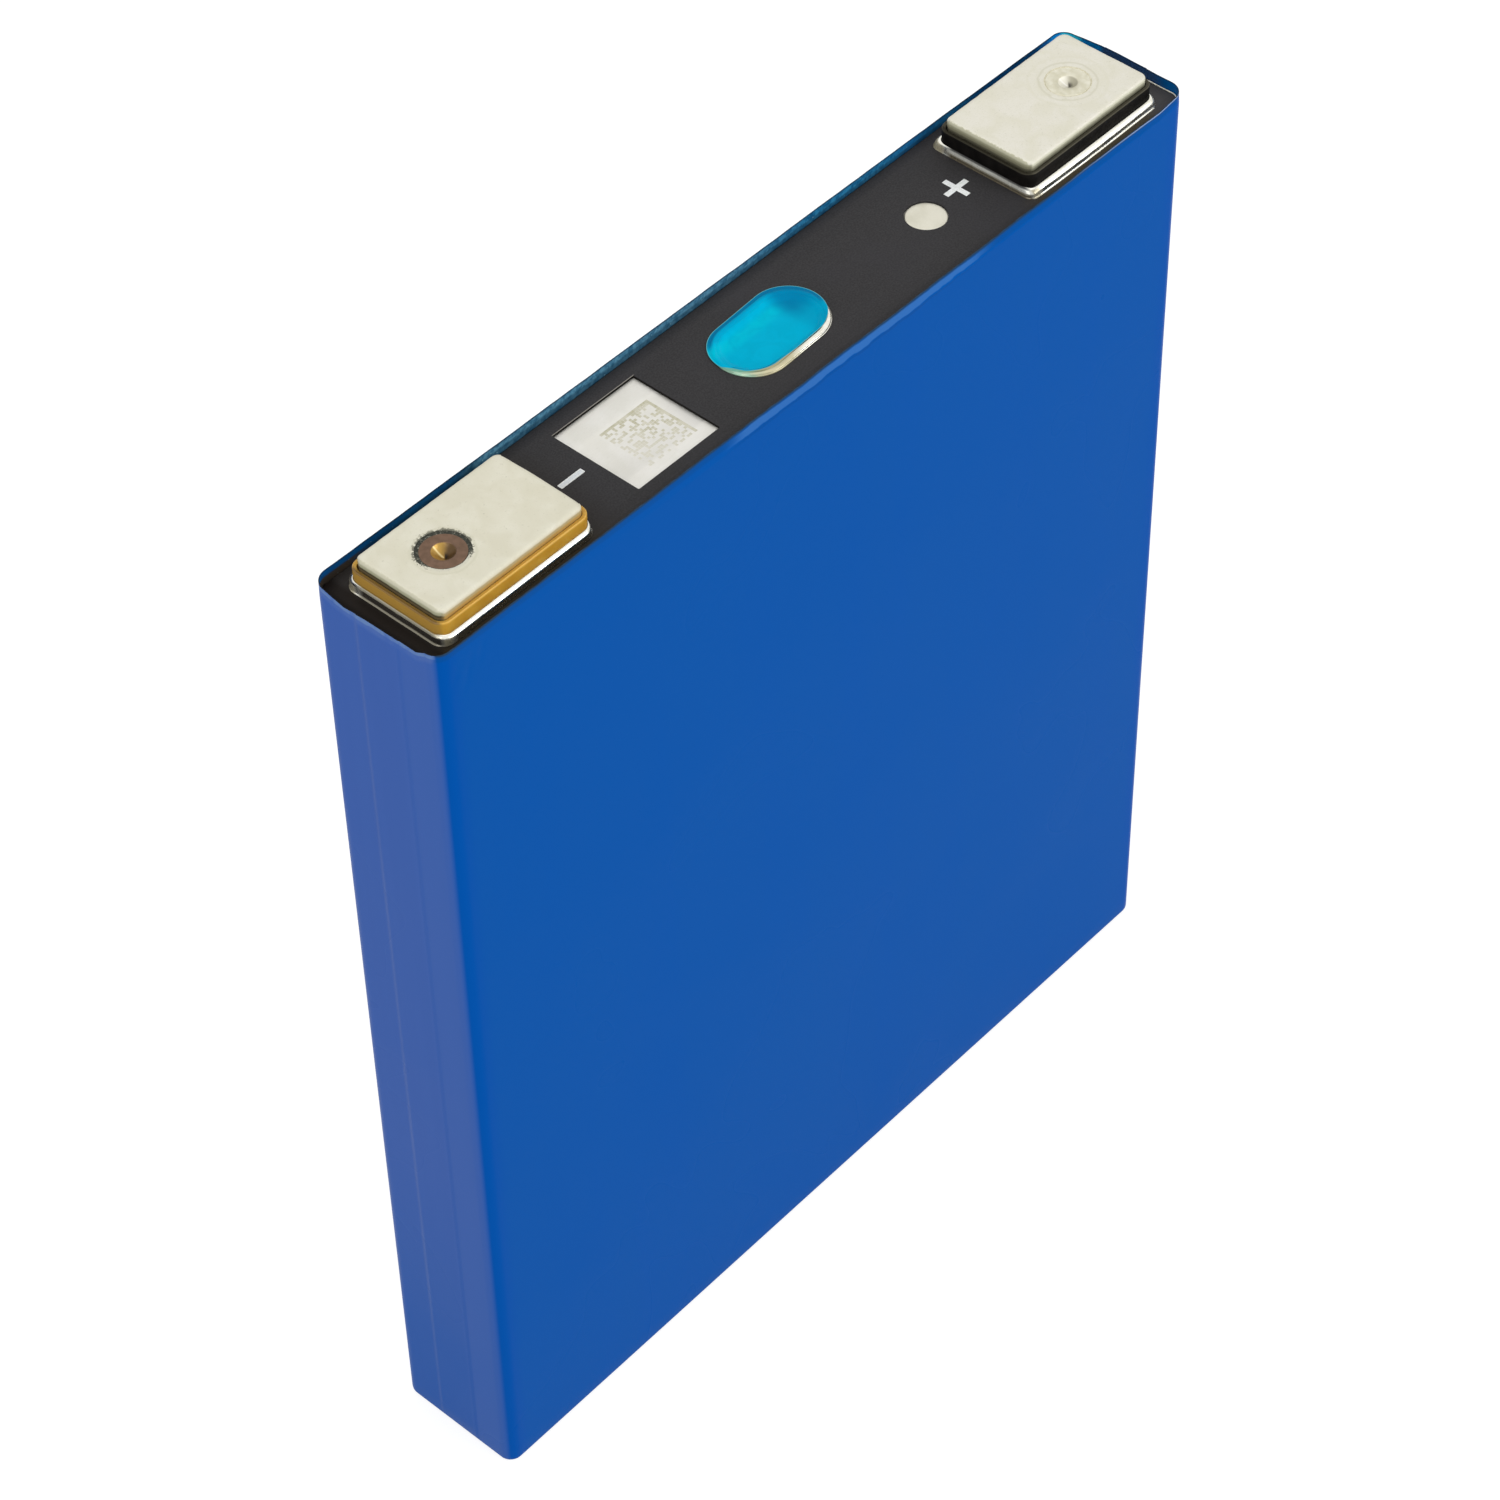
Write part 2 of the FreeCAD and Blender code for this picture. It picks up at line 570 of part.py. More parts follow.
def wound_strip(inset, core, start, thickness):
    """One strip of a core, wound flat from the middle outwards and set upright."""
    inner = spiral_edges(start)
    outer = spiral_edges(start + thickness)
    ends = []
    for index, parameter in ((0, "FirstParameter"), (-1, "LastParameter")):
        first = inner[index]
        second = outer[index]
        point = first.Curve.value(getattr(first, parameter))
        ends.append(Part.makeLine(point, second.Curve.value(getattr(second, parameter))))
    section = Part.Face(Part.Wire(Part.__sortEdges__(inner + outer + ends)))
    bottom = CORE_BOTTOM + inset
    top = CORE_TOP - inset
    strip = section.extrude(vec(0, 0, top - bottom))
    strip.translate(vec(0, CORES[core] * CORE_Y + WINDING_PITCH / 2, bottom))
    return strip


def core_strips(core):
    """The anode, cathode and two separators of one core, wound together."""
    strips = {"anode": [], "cathode": [], "separator": []}
    start = WINDING_START
    for kind, thickness in LAYERS:
        strips[kind].append(wound_strip(STRIP_INSET[kind], core, start, thickness))
        start += thickness + WINDING_GAP
    return strips


def tab_stack(polarity, core):
    """Welded foil tabs: up from the core, then bent flat under the collector."""
    side = SIDES[polarity]
    away = CORES[core]
    top = COLLECTOR_BOTTOM
    root = away * CORE_Y
    tip = root - away * TAB_REACH
    outer_bend = TAB_BEND + TAB_STACK
    upright = (root - away * TAB_STACK, root)
    bend_centre = (root - away * outer_bend, top - outer_bend)
    diagonal = math.sqrt(0.5)

    def point(across, height):
        return vec(side * TAB_X - TAB_WIDTH / 2, across, height)

    def on_bend(radius):
        return point(bend_centre[0] + away * radius * diagonal, bend_centre[1] + radius * diagonal)

    inside = top - TAB_STACK
    outer_corners = (point(upright[1], bend_centre[1]), point(bend_centre[0], top))
    inner_corners = (point(bend_centre[0], inside), point(upright[0], bend_centre[1]))
    edges = [
        Part.makeLine(point(upright[1], CORE_TOP), outer_corners[0]),
        Part.Arc(outer_corners[0], on_bend(outer_bend), outer_corners[1]).toShape(),
        Part.makeLine(outer_corners[1], point(tip, top)),
        Part.makeLine(point(tip, top), point(tip, inside)),
        Part.makeLine(point(tip, inside), inner_corners[0]),
        Part.Arc(inner_corners[0], on_bend(TAB_BEND), inner_corners[1]).toShape(),
        Part.makeLine(inner_corners[1], point(upright[0], CORE_TOP)),
        Part.makeLine(point(upright[0], CORE_TOP), point(upright[1], CORE_TOP)),
    ]
    return Part.Face(Part.Wire(edges)).extrude(vec(TAB_WIDTH, 0, 0))


def core_tapes():
    """Tape that holds the outer end of each core, one piece per core."""
    width, thickness, height = CORE_TAPE
    middle_z = (CORE_BOTTOM + CORE_TOP) / 2
    tapes = []
    for away in CORES.values():
        face = away * (CORE_Y + CORE_HALF_DEPTH + WINDING_GAP)
        ends = sorted((face, face + away * thickness))
        low = (-width / 2, ends[0], middle_z - height / 2)
        high = (width / 2, ends[1], middle_z + height / 2)
        tapes.append(box(low, high))
    return Part.makeCompound(tapes)


def tab_weld_tapes():
    """Insulating tape under each pair of welded tabs."""
    top = COLLECTOR_BOTTOM - TAB_STACK
    tapes = []
    for side in SIDES.values():
        low = (side * TAB_X - TAB_WIDTH / 2, -WELD_TAPE_HALF_WIDTH, top - WELD_TAPE)
        high = (side * TAB_X + TAB_WIDTH / 2, WELD_TAPE_HALF_WIDTH, top)
        tapes.append(box(low, high))
    return Part.makeCompound(tapes)


def all_pieces():
    """Every piece of the cell by node name."""
    pieces = {
        "wrap_film": wrap_film(),
        "base_pad": base_pad(),
        "can": can(),
        "lid_plate": lid_plate(),
        "top_label": top_label(),
        "plus_mark": plus_mark(),
        "minus_mark": minus_mark(),
        "vent_disc": vent_disc(),
        "vent_film": vent_film(),
        "vent_guard": vent_guard(),
        "fill_plug": fill_plug(),
        "fill_seal_disc": fill_seal_disc(),
        "insulating_bag": insulating_bag(),
        "core_spacer": core_spacer(),
        "core_tapes": core_tapes(),
        "tab_weld_tapes": tab_weld_tapes(),
    }
    for polarity in SIDES:
        pieces[polarity + "_terminal_plate"] = terminal_plate(polarity)
        pieces[polarity + "_rivet"] = rivet(polarity)
        pieces[polarity + "_weld_bead"] = weld_bead(polarity)
        pieces[polarity + "_upper_insulator"] = upper_insulator(polarity)
        pieces[polarity + "_seal_ring"] = seal_ring(polarity)
        pieces[polarity + "_lower_insulator"] = lower_insulator(polarity)
        pieces[polarity + "_collector"] = collector(polarity)
        for core in CORES:
            pieces[core + "_core_" + polarity + "_tabs"] = tab_stack(polarity, core)
    for core in CORES:
        strips = core_strips(core)
        pieces[core + "_core_anode"] = strips["anode"][0]
        pieces[core + "_core_cathode"] = strips["cathode"][0]
        pieces[core + "_core_separators"] = Part.makeCompound(strips["separator"])
    return pieces


os.makedirs("parts", exist_ok=True)
for name, shape in sorted(all_pieces().items()):
    shape.exportStep("parts/" + name + ".step")
    print(name, len(shape.Solids), shape.isValid(), round(shape.Volume, 1))
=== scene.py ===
import math
import random

import bmesh
import bpy
import numpy as np
from bpy.props import FloatProperty, FloatVectorProperty, IntProperty, PointerProperty
from mathutils import Matrix, Vector, noise


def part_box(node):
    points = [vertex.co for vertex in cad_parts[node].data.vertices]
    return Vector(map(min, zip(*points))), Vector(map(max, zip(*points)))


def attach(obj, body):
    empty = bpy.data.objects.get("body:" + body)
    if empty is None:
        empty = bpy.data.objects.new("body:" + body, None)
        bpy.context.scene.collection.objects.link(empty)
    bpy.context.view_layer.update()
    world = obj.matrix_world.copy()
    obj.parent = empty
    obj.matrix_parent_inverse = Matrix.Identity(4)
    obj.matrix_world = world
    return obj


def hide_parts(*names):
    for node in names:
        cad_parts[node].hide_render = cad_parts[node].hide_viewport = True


bl_info = {
    "name": "Prismatic battery cell",
    "version": (1, 0, 0),
    "blender": (4, 5, 0),
    "location": "View3D > Sidebar > Battery cell",
    "description": "Builds a film-wrapped prismatic battery cell around its solid model",
    "category": "Add Mesh",
}

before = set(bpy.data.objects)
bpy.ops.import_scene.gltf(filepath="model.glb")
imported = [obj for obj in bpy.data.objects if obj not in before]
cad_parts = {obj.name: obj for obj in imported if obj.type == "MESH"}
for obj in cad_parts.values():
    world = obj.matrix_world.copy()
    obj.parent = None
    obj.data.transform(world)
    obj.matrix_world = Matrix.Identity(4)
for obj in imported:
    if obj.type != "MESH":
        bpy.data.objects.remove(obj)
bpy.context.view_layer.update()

MM = 0.001
BODY = "root"
SIDES = ("neg", "pos")
CORNERS = ((1, -1), (1, 1), (-1, 1), (-1, -1))  # signs of X and Y at each, counter-clockwise

# ---- The wrap's sizes, in millimetres ----

WRAP_CORNER = 2.2
WRAP_BASE_EDGE = 1.2
FLAP_STEP = 0.07  # the doubled film stands this far proud on each narrow face
FLAP_LOW = -4.1  # where the doubled film begins and ends along Y
FLAP_HIGH = 3.3
# Height of the hand-cut top edge above the label, against the place along each side
RIM_FRONT = [(-74.0, 2.2), (-68.0, 2.1), (-41.0, 1.85), (-7.0, 1.3), (30.0, 0.9), (68.0, 0.65), (74.0, 1.6)]
RIM_BACK = [(-74.0, 2.0), (30.0, 1.5), (74.0, 1.25)]
RIM_NEAR = [(-8.8, 2.1), (-7.2, 1.15), (1.5, 1.05), (5.4, 0.7), (7.5, 1.3), (8.8, 1.7)]
RIM_FAR = [(-8.8, 1.6), (4.0, 1.65), (8.8, 1.1)]
# How far the free edge leans in over the lid
LEAN_FRONT = [(-74.0, 0.0), (-60.0, 0.06), (-30.0, 0.16), (-8.0, 0.3), (60.0, 0.3), (74.0, 0.06)]
LEAN_BACK = [(-74.0, 0.06), (-20.0, 0.12), (40.0, 0.05), (74.0, 0.1)]
LEAN_NEAR = [(-8.8, 0.05), (-5.0, 0.16), (4.0, 0.18), (8.8, 0.05)]
LEAN_FAR = [(-8.8, 0.1), (8.8, 0.1)]

# ---- The lid's collars round the trays, in millimetres ----

# reach: how far a collar stands out past its tray towards -X, towards +X and both ways in Y.
# ends and sides: its section across X and across Y. Each place is (outward, height above the
# label), where -1 lies on the tray, 0 on the collar's outer wall, and more is the foot's flare.
COLLARS = {
    "neg": {
        "reach": (0.22, 0.12, 0.55),
        "corner": 1.9,
        "bow": 0.0,
        "ends": [(-1.0, 1.5), (-0.92, 1.56), (-0.7, 1.52), (-0.4, 1.38), (-0.1, 1.22),
                 (0.0, 1.08), (0.0, 0.6), (0.01, 0.28), (0.08, 0.13), (0.22, 0.04)],
        "sides": [(-0.97, 1.36), (-0.93, 1.42), (-0.8, 1.4), (-0.5, 1.26), (-0.2, 1.08),
                  (-0.05, 0.98), (0.0, 0.86), (0.0, 0.5), (0.0, 0.1), (0.01, 0.03)],
    },
    "pos": {
        "reach": (0.3, 0.12, 0.62),
        "corner": 1.2,
        "bow": 0.16,
        "ends": [(-0.98, 1.26), (-0.9, 1.33), (-0.7, 1.27), (-0.48, 1.12), (-0.26, 0.9),
                 (-0.1, 0.64), (0.0, 0.36), (0.02, 0.2), (0.05, 0.1), (0.1, 0.03)],
        "sides": [(-0.97, 1.16), (-0.93, 1.26), (-0.8, 1.27), (-0.5, 1.12), (-0.2, 0.88),
                  (-0.04, 0.7), (0.0, 0.56), (0.0, 0.38), (0.08, 0.18), (0.24, 0.04)],
    },
}
# Their painted light at the end towards -X: bands of painted highlight, reflection and shade, each with the
# height above the label where it begins
COLLAR_PAINTED_LIGHT = {
    "neg": [(-1.0, "#8c8675"), (0.24, "#3d3934"), (1.12, "#a8a390"), (1.5, "#8f7a50")],
    "pos": [(-1.0, "#5f5642"), (0.12, "#5a5345"), (0.42, "#8d8877"), (0.62, "#c4c3ba"),
            (1.05, "#8f908b"), (1.14, "#4a4946"), (1.24, "#302f2d")],
}

# ---- What is on the lid, in millimetres ----

POST_HOLE = 4.25  # radius of the lid's holes round the posts
VENT_OPENING = (16.2, 8.0)
VENT_AT = (-0.38, -0.08)  # middle of the pressed ridge round the vent
VENT_TURN = math.radians(2.0)  # how far the ridge is turned from the can's sides
COVER_TURN = math.radians(3.2)  # how far the vent's cover is turned from them
RIDGE_SIZE = (18.65, 11.1)
RIDGE_CORNER = 5.54
CODE_WINDOW = (15.4, 15.2)
CODE_WINDOW_AT = (-25.95, 0.4)
CODE_AT = (-29.2, -5.1)  # the code field's corner towards -X and -Y
CODE_SPAN = 9.0
TRAY_CORNER = 1.8
# Section of a post's dimple as (radius, depth), and how far each post's is stretched
DIMPLE = [(1.66, 0.01), (1.56, 0.06), (1.45, 0.16), (1.0, 0.44),
          (0.55, 0.68), (0.22, 0.84), (0.08, 0.89), (0, 0.9)]
DIMPLE_SCALES = {"neg": (1.02, 1.45), "pos": (0.9, 1.0)}


def linear(code):
    """A hex sRGB colour as linear red, green and blue."""
    parts = (int(code[at:at + 2], 16) / 255 for at in (1, 3, 5))
    return tuple(v / 12.92 if v <= 0.04045 else ((v + 0.055) / 1.055) ** 2.4 for v in parts)


def place(node):
    """Lowest and highest corners of a solid of the model, in millimetres."""
    low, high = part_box(node)
    return np.array(low) / MM, np.array(high) / MM


def footprint(node):
    """Size across, middle, bottom and top of a solid, in millimetres."""
    low, high = place(node)
    size = (high[0] - low[0], high[1] - low[1])
    middle = ((high[0] + low[0]) / 2, (high[1] + low[1]) / 2)
    return size, middle, low[2], high[2]


# ---- Settings a user would change ----


def colour(name, description, code):
    """A colour setting that starts as a hex sRGB colour."""
    return FloatVectorProperty(
        name=name, description=description, subtype="COLOR", size=3, min=0, max=1, default=linear(code)
    )


def length(name, description, millimetres):
    """A length setting that starts at a number of millimetres."""
    return FloatProperty(
        name=name, description=description, unit="LENGTH", default=millimetres * MM, precision=5
    )


class WrapSettings(bpy.types.PropertyGroup):
    film: colour("Film", "Colour of the film over the wide faces", "#0055aa")
    # The narrow faces' colour is a painted reflection
    narrow: colour("Narrow faces", "Colour where the film lies double", "#3f63b0")
    thickness: length("Thickness", "Thickness of the film", 0.12)
    wave: length("Wave", "Depth of the slow waves in the film", 0.03)


class TerminalSettings(bpy.types.PropertyGroup):
    plate: colour("Plates", "Colour of the contact plates", "#e2dfd3")
    negative_tray: colour("Negative tray", "Colour of the tray under the negative plate", "#b8882c")
    positive_tray: colour("Positive tray", "Colour of the tray under the positive plate", "#0d0c0b")
    edge: length("Edge radius", "Rounding of the plates' top edges", 0.5)


class TopSettings(bpy.types.PropertyGroup):
    label: colour("Label", "Colour of the insulating label", "#313031")
    vent: colour("Vent cover", "Colour of the film over the vent", "#00a8cc")
    ink: colour("Ink", "Colour of the polarity marks", "#ecedef")
    modules: IntProperty(name="Modules", description="Squares along each side of the code field", default=20)


class StudioSettings(bpy.types.PropertyGroup):
    floor: colour("Floor", "Colour of the floor", "#f0f0f0")
    focal: FloatProperty(name="Focal length", description="Camera lens in millimetres", default=109.58)
    strength: FloatProperty(name="Surround", description="Strength of the room's even light", default=0.62)


# ---- Making a finish ----

MIX_FACTOR, MIX_UNDER, MIX_OVER, MIX_RESULT = 0, 6, 7, 2  # the Mix node's sockets for colours


def add_node(tree, kind, inputs=None, out=0, **settings):
    """Add one shader node, set or link its inputs, and return an output, or the node for None."""
    made = tree.nodes.new("ShaderNode" + kind)
    for name, value in settings.items():
        setattr(made, name, value)
    for name, value in (inputs or {}).items():
        if isinstance(value, bpy.types.NodeSocket):
            tree.links.new(value, made.inputs[name])
        else:
            made.inputs[name].default_value = value
    return made if out is None else made.outputs[out]


def paint(shade):
    """Four linear values for a hex code or a setting's colour. A socket stays as it is."""
    if isinstance(shade, bpy.types.NodeSocket):
        return shade
    return (*(linear(shade) if isinstance(shade, str) else shade), 1.0)


class Finish:
    """A material in the making: places on it in millimetres, its patterns and its colour so far."""

    def __init__(self, name, patterns, **sockets):
        """Each pattern is noise: its blobs' size in millimetres, its detail and other settings."""
        self.material = bpy.data.materials.new(name)
        self.material.use_nodes = True
        self.tree = self.material.node_tree
        self.shader = self.tree.nodes["Principled BSDF"]
        for socket, value in sockets.items():
            self.shader.inputs[socket.replace("_", " ")].default_value = value
        metres = self.add("TexCoord", out="Object")
        self.spot = self.add("VectorMath", {0: metres, "Scale": 1 / MM}, operation="SCALE")
        self.x, self.y, self.z = self.add("SeparateXYZ", {0: self.spot}, out=None).outputs
        self.patterns = []
        for blob, detail, *more in patterns:
            inputs = {"Vector": self.spot, "Scale": 1 / blob, "Detail": detail, **(more[0] if more else {})}
            stretch = inputs.pop("stretch", None)
            if stretch:
                inputs["Vector"] = self.add("Mapping", {"Vector": self.spot, "Scale": stretch})
            self.patterns.append(self.add("TexNoise", inputs))
        self.colour = None

    def add(self, kind, inputs=None, out=0, **settings):
        """Add a node to this material."""
        return add_node(self.tree, kind, inputs, out, **settings)

    def where(self, *limits):
        """How far all limits hold, multiplied together.

        A limit is a factor, or a value with the place where it counts for nothing, the place where
        it counts in full and, if they aren't 0 and 1, what it gives at those two.
        """
        held = None
        for limit in limits:
            if isinstance(limit, tuple):
                value, none, full, *given = limit
                low, high = given or (0.0, 1.0)
                inputs = {"Value": value, "From Min": none, "From Max": full, "To Min": low, "To Max": high}
                limit = self.add("MapRange", inputs, interpolation_type="SMOOTHSTEP")
            if held is None:
                held = limit
            else:
                held = self.add("Math", {0: held, 1: limit}, operation="MULTIPLY")
        return held

    def total(self, *terms):
        """Sum of values, each alone or in a pair with the weight that it counts with."""
        running = 0.0
        for term in terms:
            value, weight = term if isinstance(term, tuple) else (term, 1.0)
            running = self.add("Math", {0: value, 1: weight, 2: running}, operation="MULTIPLY_ADD")
        return running

    def blend(self, under, over, *limits):
        """One tone over another, as far as the limits hold."""
        inputs = {MIX_FACTOR: self.where(*limits), MIX_UNDER: paint(under), MIX_OVER: paint(over)}
        return self.add("Mix", inputs, out=MIX_RESULT, data_type="RGBA")

    def lay(self, shade, *limits):
        """Lay a tone over the colour so far, as far as the limits hold."""
        self.colour = self.blend(self.colour, shade, *limits)

    def finished(self, relief=None, depth=0.0, **sockets):
        """Link the colour and the given sockets, raise the face by a pattern, and give the material."""
        sockets["Base Color"] = self.colour
        if relief is not None:
            inputs = {"Height": relief, "Distance": depth * MM, "Strength": 1.0}
            sockets["Normal"] = self.add("Bump", inputs)
        for name, value in sockets.items():
            self.tree.links.new(value, self.shader.inputs[name])
        return self.material


# ---- Materials that show ----


def pet_film(settings):
    """Blue polyester film, stretched and pressed on glue: glossy, with slow waves and faint streaks."""
    # Its clear coat shows little glare, because the pigment and the glue lie right behind the face
    film = Finish(
        "polyester_film_blue",
        [(9, 3, {"stretch": (1, 1, 0.08)}), (38, 2, {"Distortion": 0.6}),
         (2.2, 2, {"stretch": (1, 1, 0.03)}), (3, 3), (1.6, 3)],
        Roughness=0.3, IOR=1.57, Specular_IOR_Level=0.012,
    )
    x, y, z = film.x, film.y, film.z
    streaks, patches, strips, waver, smear = film.patterns
    wide = film.blend(settings.film, "#0455aa", (patches, 0.35, 0.65))
    wide = film.blend(wide, "#0054ac", (streaks, 0.45, 0.8, 0, 0.5))
    # Painted shade deepens the blue towards the vertical corners
    wide = film.blend(wide, "#0052ab", (film.add("Math", {0: x}, operation="ABSOLUTE"), 69.5, 71.8, 0, 0.9))
    # Painted reflection: the narrow faces get a purpler tone for the room they reflect, bluer towards the
    # bottom
    ends = film.blend(settings.narrow, "#4064b1", (strips, 0.3, 0.7))
    ends = film.blend(ends, "#295cad", (z, 70, 5, 0, 0.8))
    ends = film.blend(ends, "#4166b2", (y, -3.0, -4.6, 0, 0.6))
    narrow = film.total(film.where((x, -73.2, -73.8)), film.where((x, 73.75, 73.88)))
    film.colour = film.blend(wide, ends, narrow)
    # The free edge rolls in over the lid: in the middle it faces the light, painted as a highlight band with
    # painted shade just below it
    below = film.add("Attribute", out="Fac", attribute_name="below_rim")
    depth = film.total(below, film.where((waver, 0.3, 0.7, -0.12, 0.12)))
    front = film.where((y, -9.5, -10.6))
    middle = film.where((x, -22, -17), (x, 34, 27), front)
    taper = film.total(depth, film.where((x, 12, 30, 0, 0.4)))
    for start, stop, strength, shade in ((0.3, 1.45, 0.85, "#3770b8"), (1.5, 2.0, 0.6, "#0a4c98")):
        fading = (taper, stop + 0.1, stop - 0.1, 0, strength)
        film.lay(shade, (depth, start - 0.08, start + 0.08), fading, middle)
    # Painted shade darkens the rest of the front rim, and most of all its lip
    film.lay("#0a4c94", (below, 1.35, 0.9, 0, 0.6), front, film.total(1.0, (middle, -1.0)))
    film.lay("#24405c", (below, 0.5, 0.0), front)
    # A painted highlight along the cut edge towards +X
    film.lay("#8fa5cf", (x, 42, 73), (below, 0.25, 0.12), front)
    # A patchy painted highlight along the top of the narrow face towards -X
    near = film.where((x, -73.3, -73.75), (smear, 0.3, 0.6, 0.3, 1))
    film.lay("#5472b4", (depth, 1.7, 0.9, 0, 0.7), near)
    film.lay("#6887bc", (depth, 0.7, 0.45), near)
    return film.finished(streaks, 0.004, Roughness=film.where((patches, 0.3, 0.7, 0.24, 0.36)))


def film_glue_side():
    """The film's inner side: dulled by its glue, dark teal, with tiny bright bubbles."""
    film = Finish(
        "polyester_film_glue_side",
        [(0.9, 5, {"Roughness": 0.65}), (1.1, 0)],
        Roughness=0.35, IOR=1.5, Specular_IOR_Level=0.1,
    )
    x, y = film.x, film.y
    cloud, scatter = film.patterns
    below = film.add("Attribute", out="Fac", attribute_name="below_rim")
    film.colour = film.blend("#2a5c7a", "#5a90ac", (cloud, 0.35, 0.65))
    film.lay(film.blend("#0c527e", "#2f80ac", (cloud, 0.35, 0.65)), (x, 2, 22))
    film.lay("#1c74b8", (x, 34, 42, 0, 0.6))
    film.lay("#0c5a9c", (x, 50, 56))
    film.lay("#1b6cb2", (x, -44, -50))
    film.lay("#0c5ca4", (x, -56, -62))
    # Painted shade darkens its lower part, next to the label
    film.lay("#1c3c52", (below, 0.7, 1.2, 0, 0.6))
    # Towards +X it faces the light and is painted a brighter blue
    end = film.blend("#0088dc", "#33578a", (y, 4.4, 3.2))
    film.lay(film.blend(end, "#00508c", (y, -5.0, -7.5)), (x, 70, 72))
    # Painted shade on its lower part towards -X
    film.lay("#49423b", (below, 0.8, 1.2), (x, -63, -68))
    # Bubbles of 0.1 mm are drawn at 0.2 mm, so that they still show
    cells = film.add("TexVoronoi", {"Vector": film.spot, "Scale": 1 / 0.7}, out="Distance")
    film.lay("#9cc6cf", (cells, 0.16, 0.08), (scatter, 0.56, 0.62, 0, 0.6), (x, 50, 30))
    # A painted highlight at the far corner towards +X and +Y
    film.lay("#30dcff", (x, 71.6, 72.6), (y, 6.8, 8.2), (y, 10.6, 10.2))
    film.lay("#0b2438", (below, 0.25, 0.05, 0, 0.6))
    return film.finished(cloud, 0.02)


def film_cut_edge():
    """Cut edge of the film: dark, because the pigment goes right through it."""
    edge = Finish("polyester_film_cut_edge", [(1.5, 3)], Roughness=0.45, IOR=1.57, Specular_IOR_Level=0.1)
    edge.colour = edge.blend("#1a2c3e", "#1f4464", (edge.patterns[0], 0.35, 0.7))
    # Towards -X the edge is painted black, as the shadow in the gap beside the label
    edge.lay("#06090d", (edge.x, -73.0, -73.5))
    return edge.finished()


def rolled_aluminium(name, light, dark, brush, depth, metallic=1.0):
    """Aluminium, rolled or finely brushed along X: bright, with lines that spread its highlights."""
    # Brush lines of 0.03 mm are drawn 0.12 mm apart, so that they still show
    metal = Finish(
        name,
        [(0.12, 3, {"stretch": brush}), (5, 4, {"Distortion": 0.4}), (0.22, 2)],
        Metallic=metallic, Roughness=0.5,
    )
    lines, clouds, specks = metal.patterns
    metal.colour = metal.blend(light, dark, (clouds, 0.35, 0.7))
    metal.lay("#a9a698", (specks, 0.62, 0.75, 0, 0.12))
    return metal.finished(lines, depth, Roughness=metal.where((lines, 0.2, 0.8, 0.44, 0.6)))


def pressed_aluminium(side):
    """Aluminium stretched into a collar: shiny, with painted bands of highlight, reflection and shade at its
    end towards -X.
    """
    metal = Finish(f"aluminium_collar_pressed_{side}", [(1.6, 4)], Metallic=1.0, Roughness=0.24)
    clouds = metal.patterns[0]
    tray_end = place(side + "_upper_insulator")[0][0]
    metal.colour = metal.blend("#f3f1e6", "#e4e1d2", (clouds, 0.35, 0.7))
    height = metal.total(metal.z, metal.where((clouds, 0.3, 0.7, -0.02, 0.02)), -place("top_label")[1][2])
    # Bands of painted highlight, reflection and shade up its height stand in for the metal's reflections
    painted_bands = COLLAR_PAINTED_LIGHT[side][0][1]
    for start, shade in COLLAR_PAINTED_LIGHT[side][1:]:
        painted_bands = metal.blend(painted_bands, shade, (height, start - 0.04, start + 0.04))
    end = metal.where((metal.x, tray_end + 0.5, tray_end), (metal.y, 6.8, 5.2))
    # Its corners at that end get a painted beige highlight below the crest, and keep a bright crest
    corner_highlight = metal.where(
        (metal.add("Math", {0: metal.y}, operation="ABSOLUTE"), 6.0, 7.2),
        (metal.x, tray_end + 2.4, tray_end + 1.0),
        (height, 1.2, 1.0, 0, 0.9),
        metal.total(1.0, (end, -1.0)),
    )
    metal.lay("#a39a7e", corner_highlight)
    metal.lay(painted_bands, end)
    # Where light is painted, the metal reflects less so that the paint shows
    dull = metal.add("Math", {0: end, 1: corner_highlight}, operation="MAXIMUM")
    return metal.finished(
        clouds, 0.01, Metallic=metal.total(1.0, (dull, -0.7)),
        Roughness=metal.where((clouds, 0.3, 0.7, 0.18, 0.32)),
    )


def ridge_aluminium():
    """Aluminium pressed into the vent's ridge: shiny, and stained by the cover's glue towards -X."""
    metal = Finish("aluminium_ridge_pressed", [(0.8, 3)], Metallic=1.0, Roughness=0.2)
    clouds = metal.patterns[0]
    metal.colour = metal.blend("#f3f1e6", "#e6e3d4", (clouds, 0.35, 0.7))
    stained = metal.total(metal.x, metal.where((clouds, 0.3, 0.7, -0.5, 0.5)))
    glue = metal.where((stained, 1.0, -3.0))
    metal.lay("#c6be9a", glue)
    metal.lay("#8fb39c", (stained, -6.5, -9.5))
    return metal.finished(clouds, 0.004, Metallic=metal.total(1.0, (glue, -0.7)))


# Painted shade and painted reflections of the trays on the plates' edges below the face, at the end towards
# -X and elsewhere. Each begins at its depth in millimetres.
PLATE_EDGE_PAINTED_LIGHT = {
    "neg": (
        [(0.25, "#a9a88c"), (0.75, "#3f3a27"), (1.1, "#6f6040")],
        [(0.1, "#cfc8b0"), (0.35, "#b9a678"), (0.8, "#bb9a56")],
    ),
    "pos": (
        [(0.25, "#96947a"), (0.6, "#827f67"), (1.0, "#5c5947")],
        [(0.15, "#cccbb6"), (0.5, "#9f9e88"), (0.85, "#7b7a67"), (1.2, "#55533f")],
    ),
}
# Each plate's material, how far its face is worn, the worn tone, and the painted shade on its bevel towards
# -X
PLATE_FACES = {
    "neg": ("aluminium_plate_brushed", 0.8, "#c9c5b0", "#c3c0aa"),
    "pos": ("aluminium_plate_stamped", 0.5, "#d6d3c9", "#b2b098"),
}


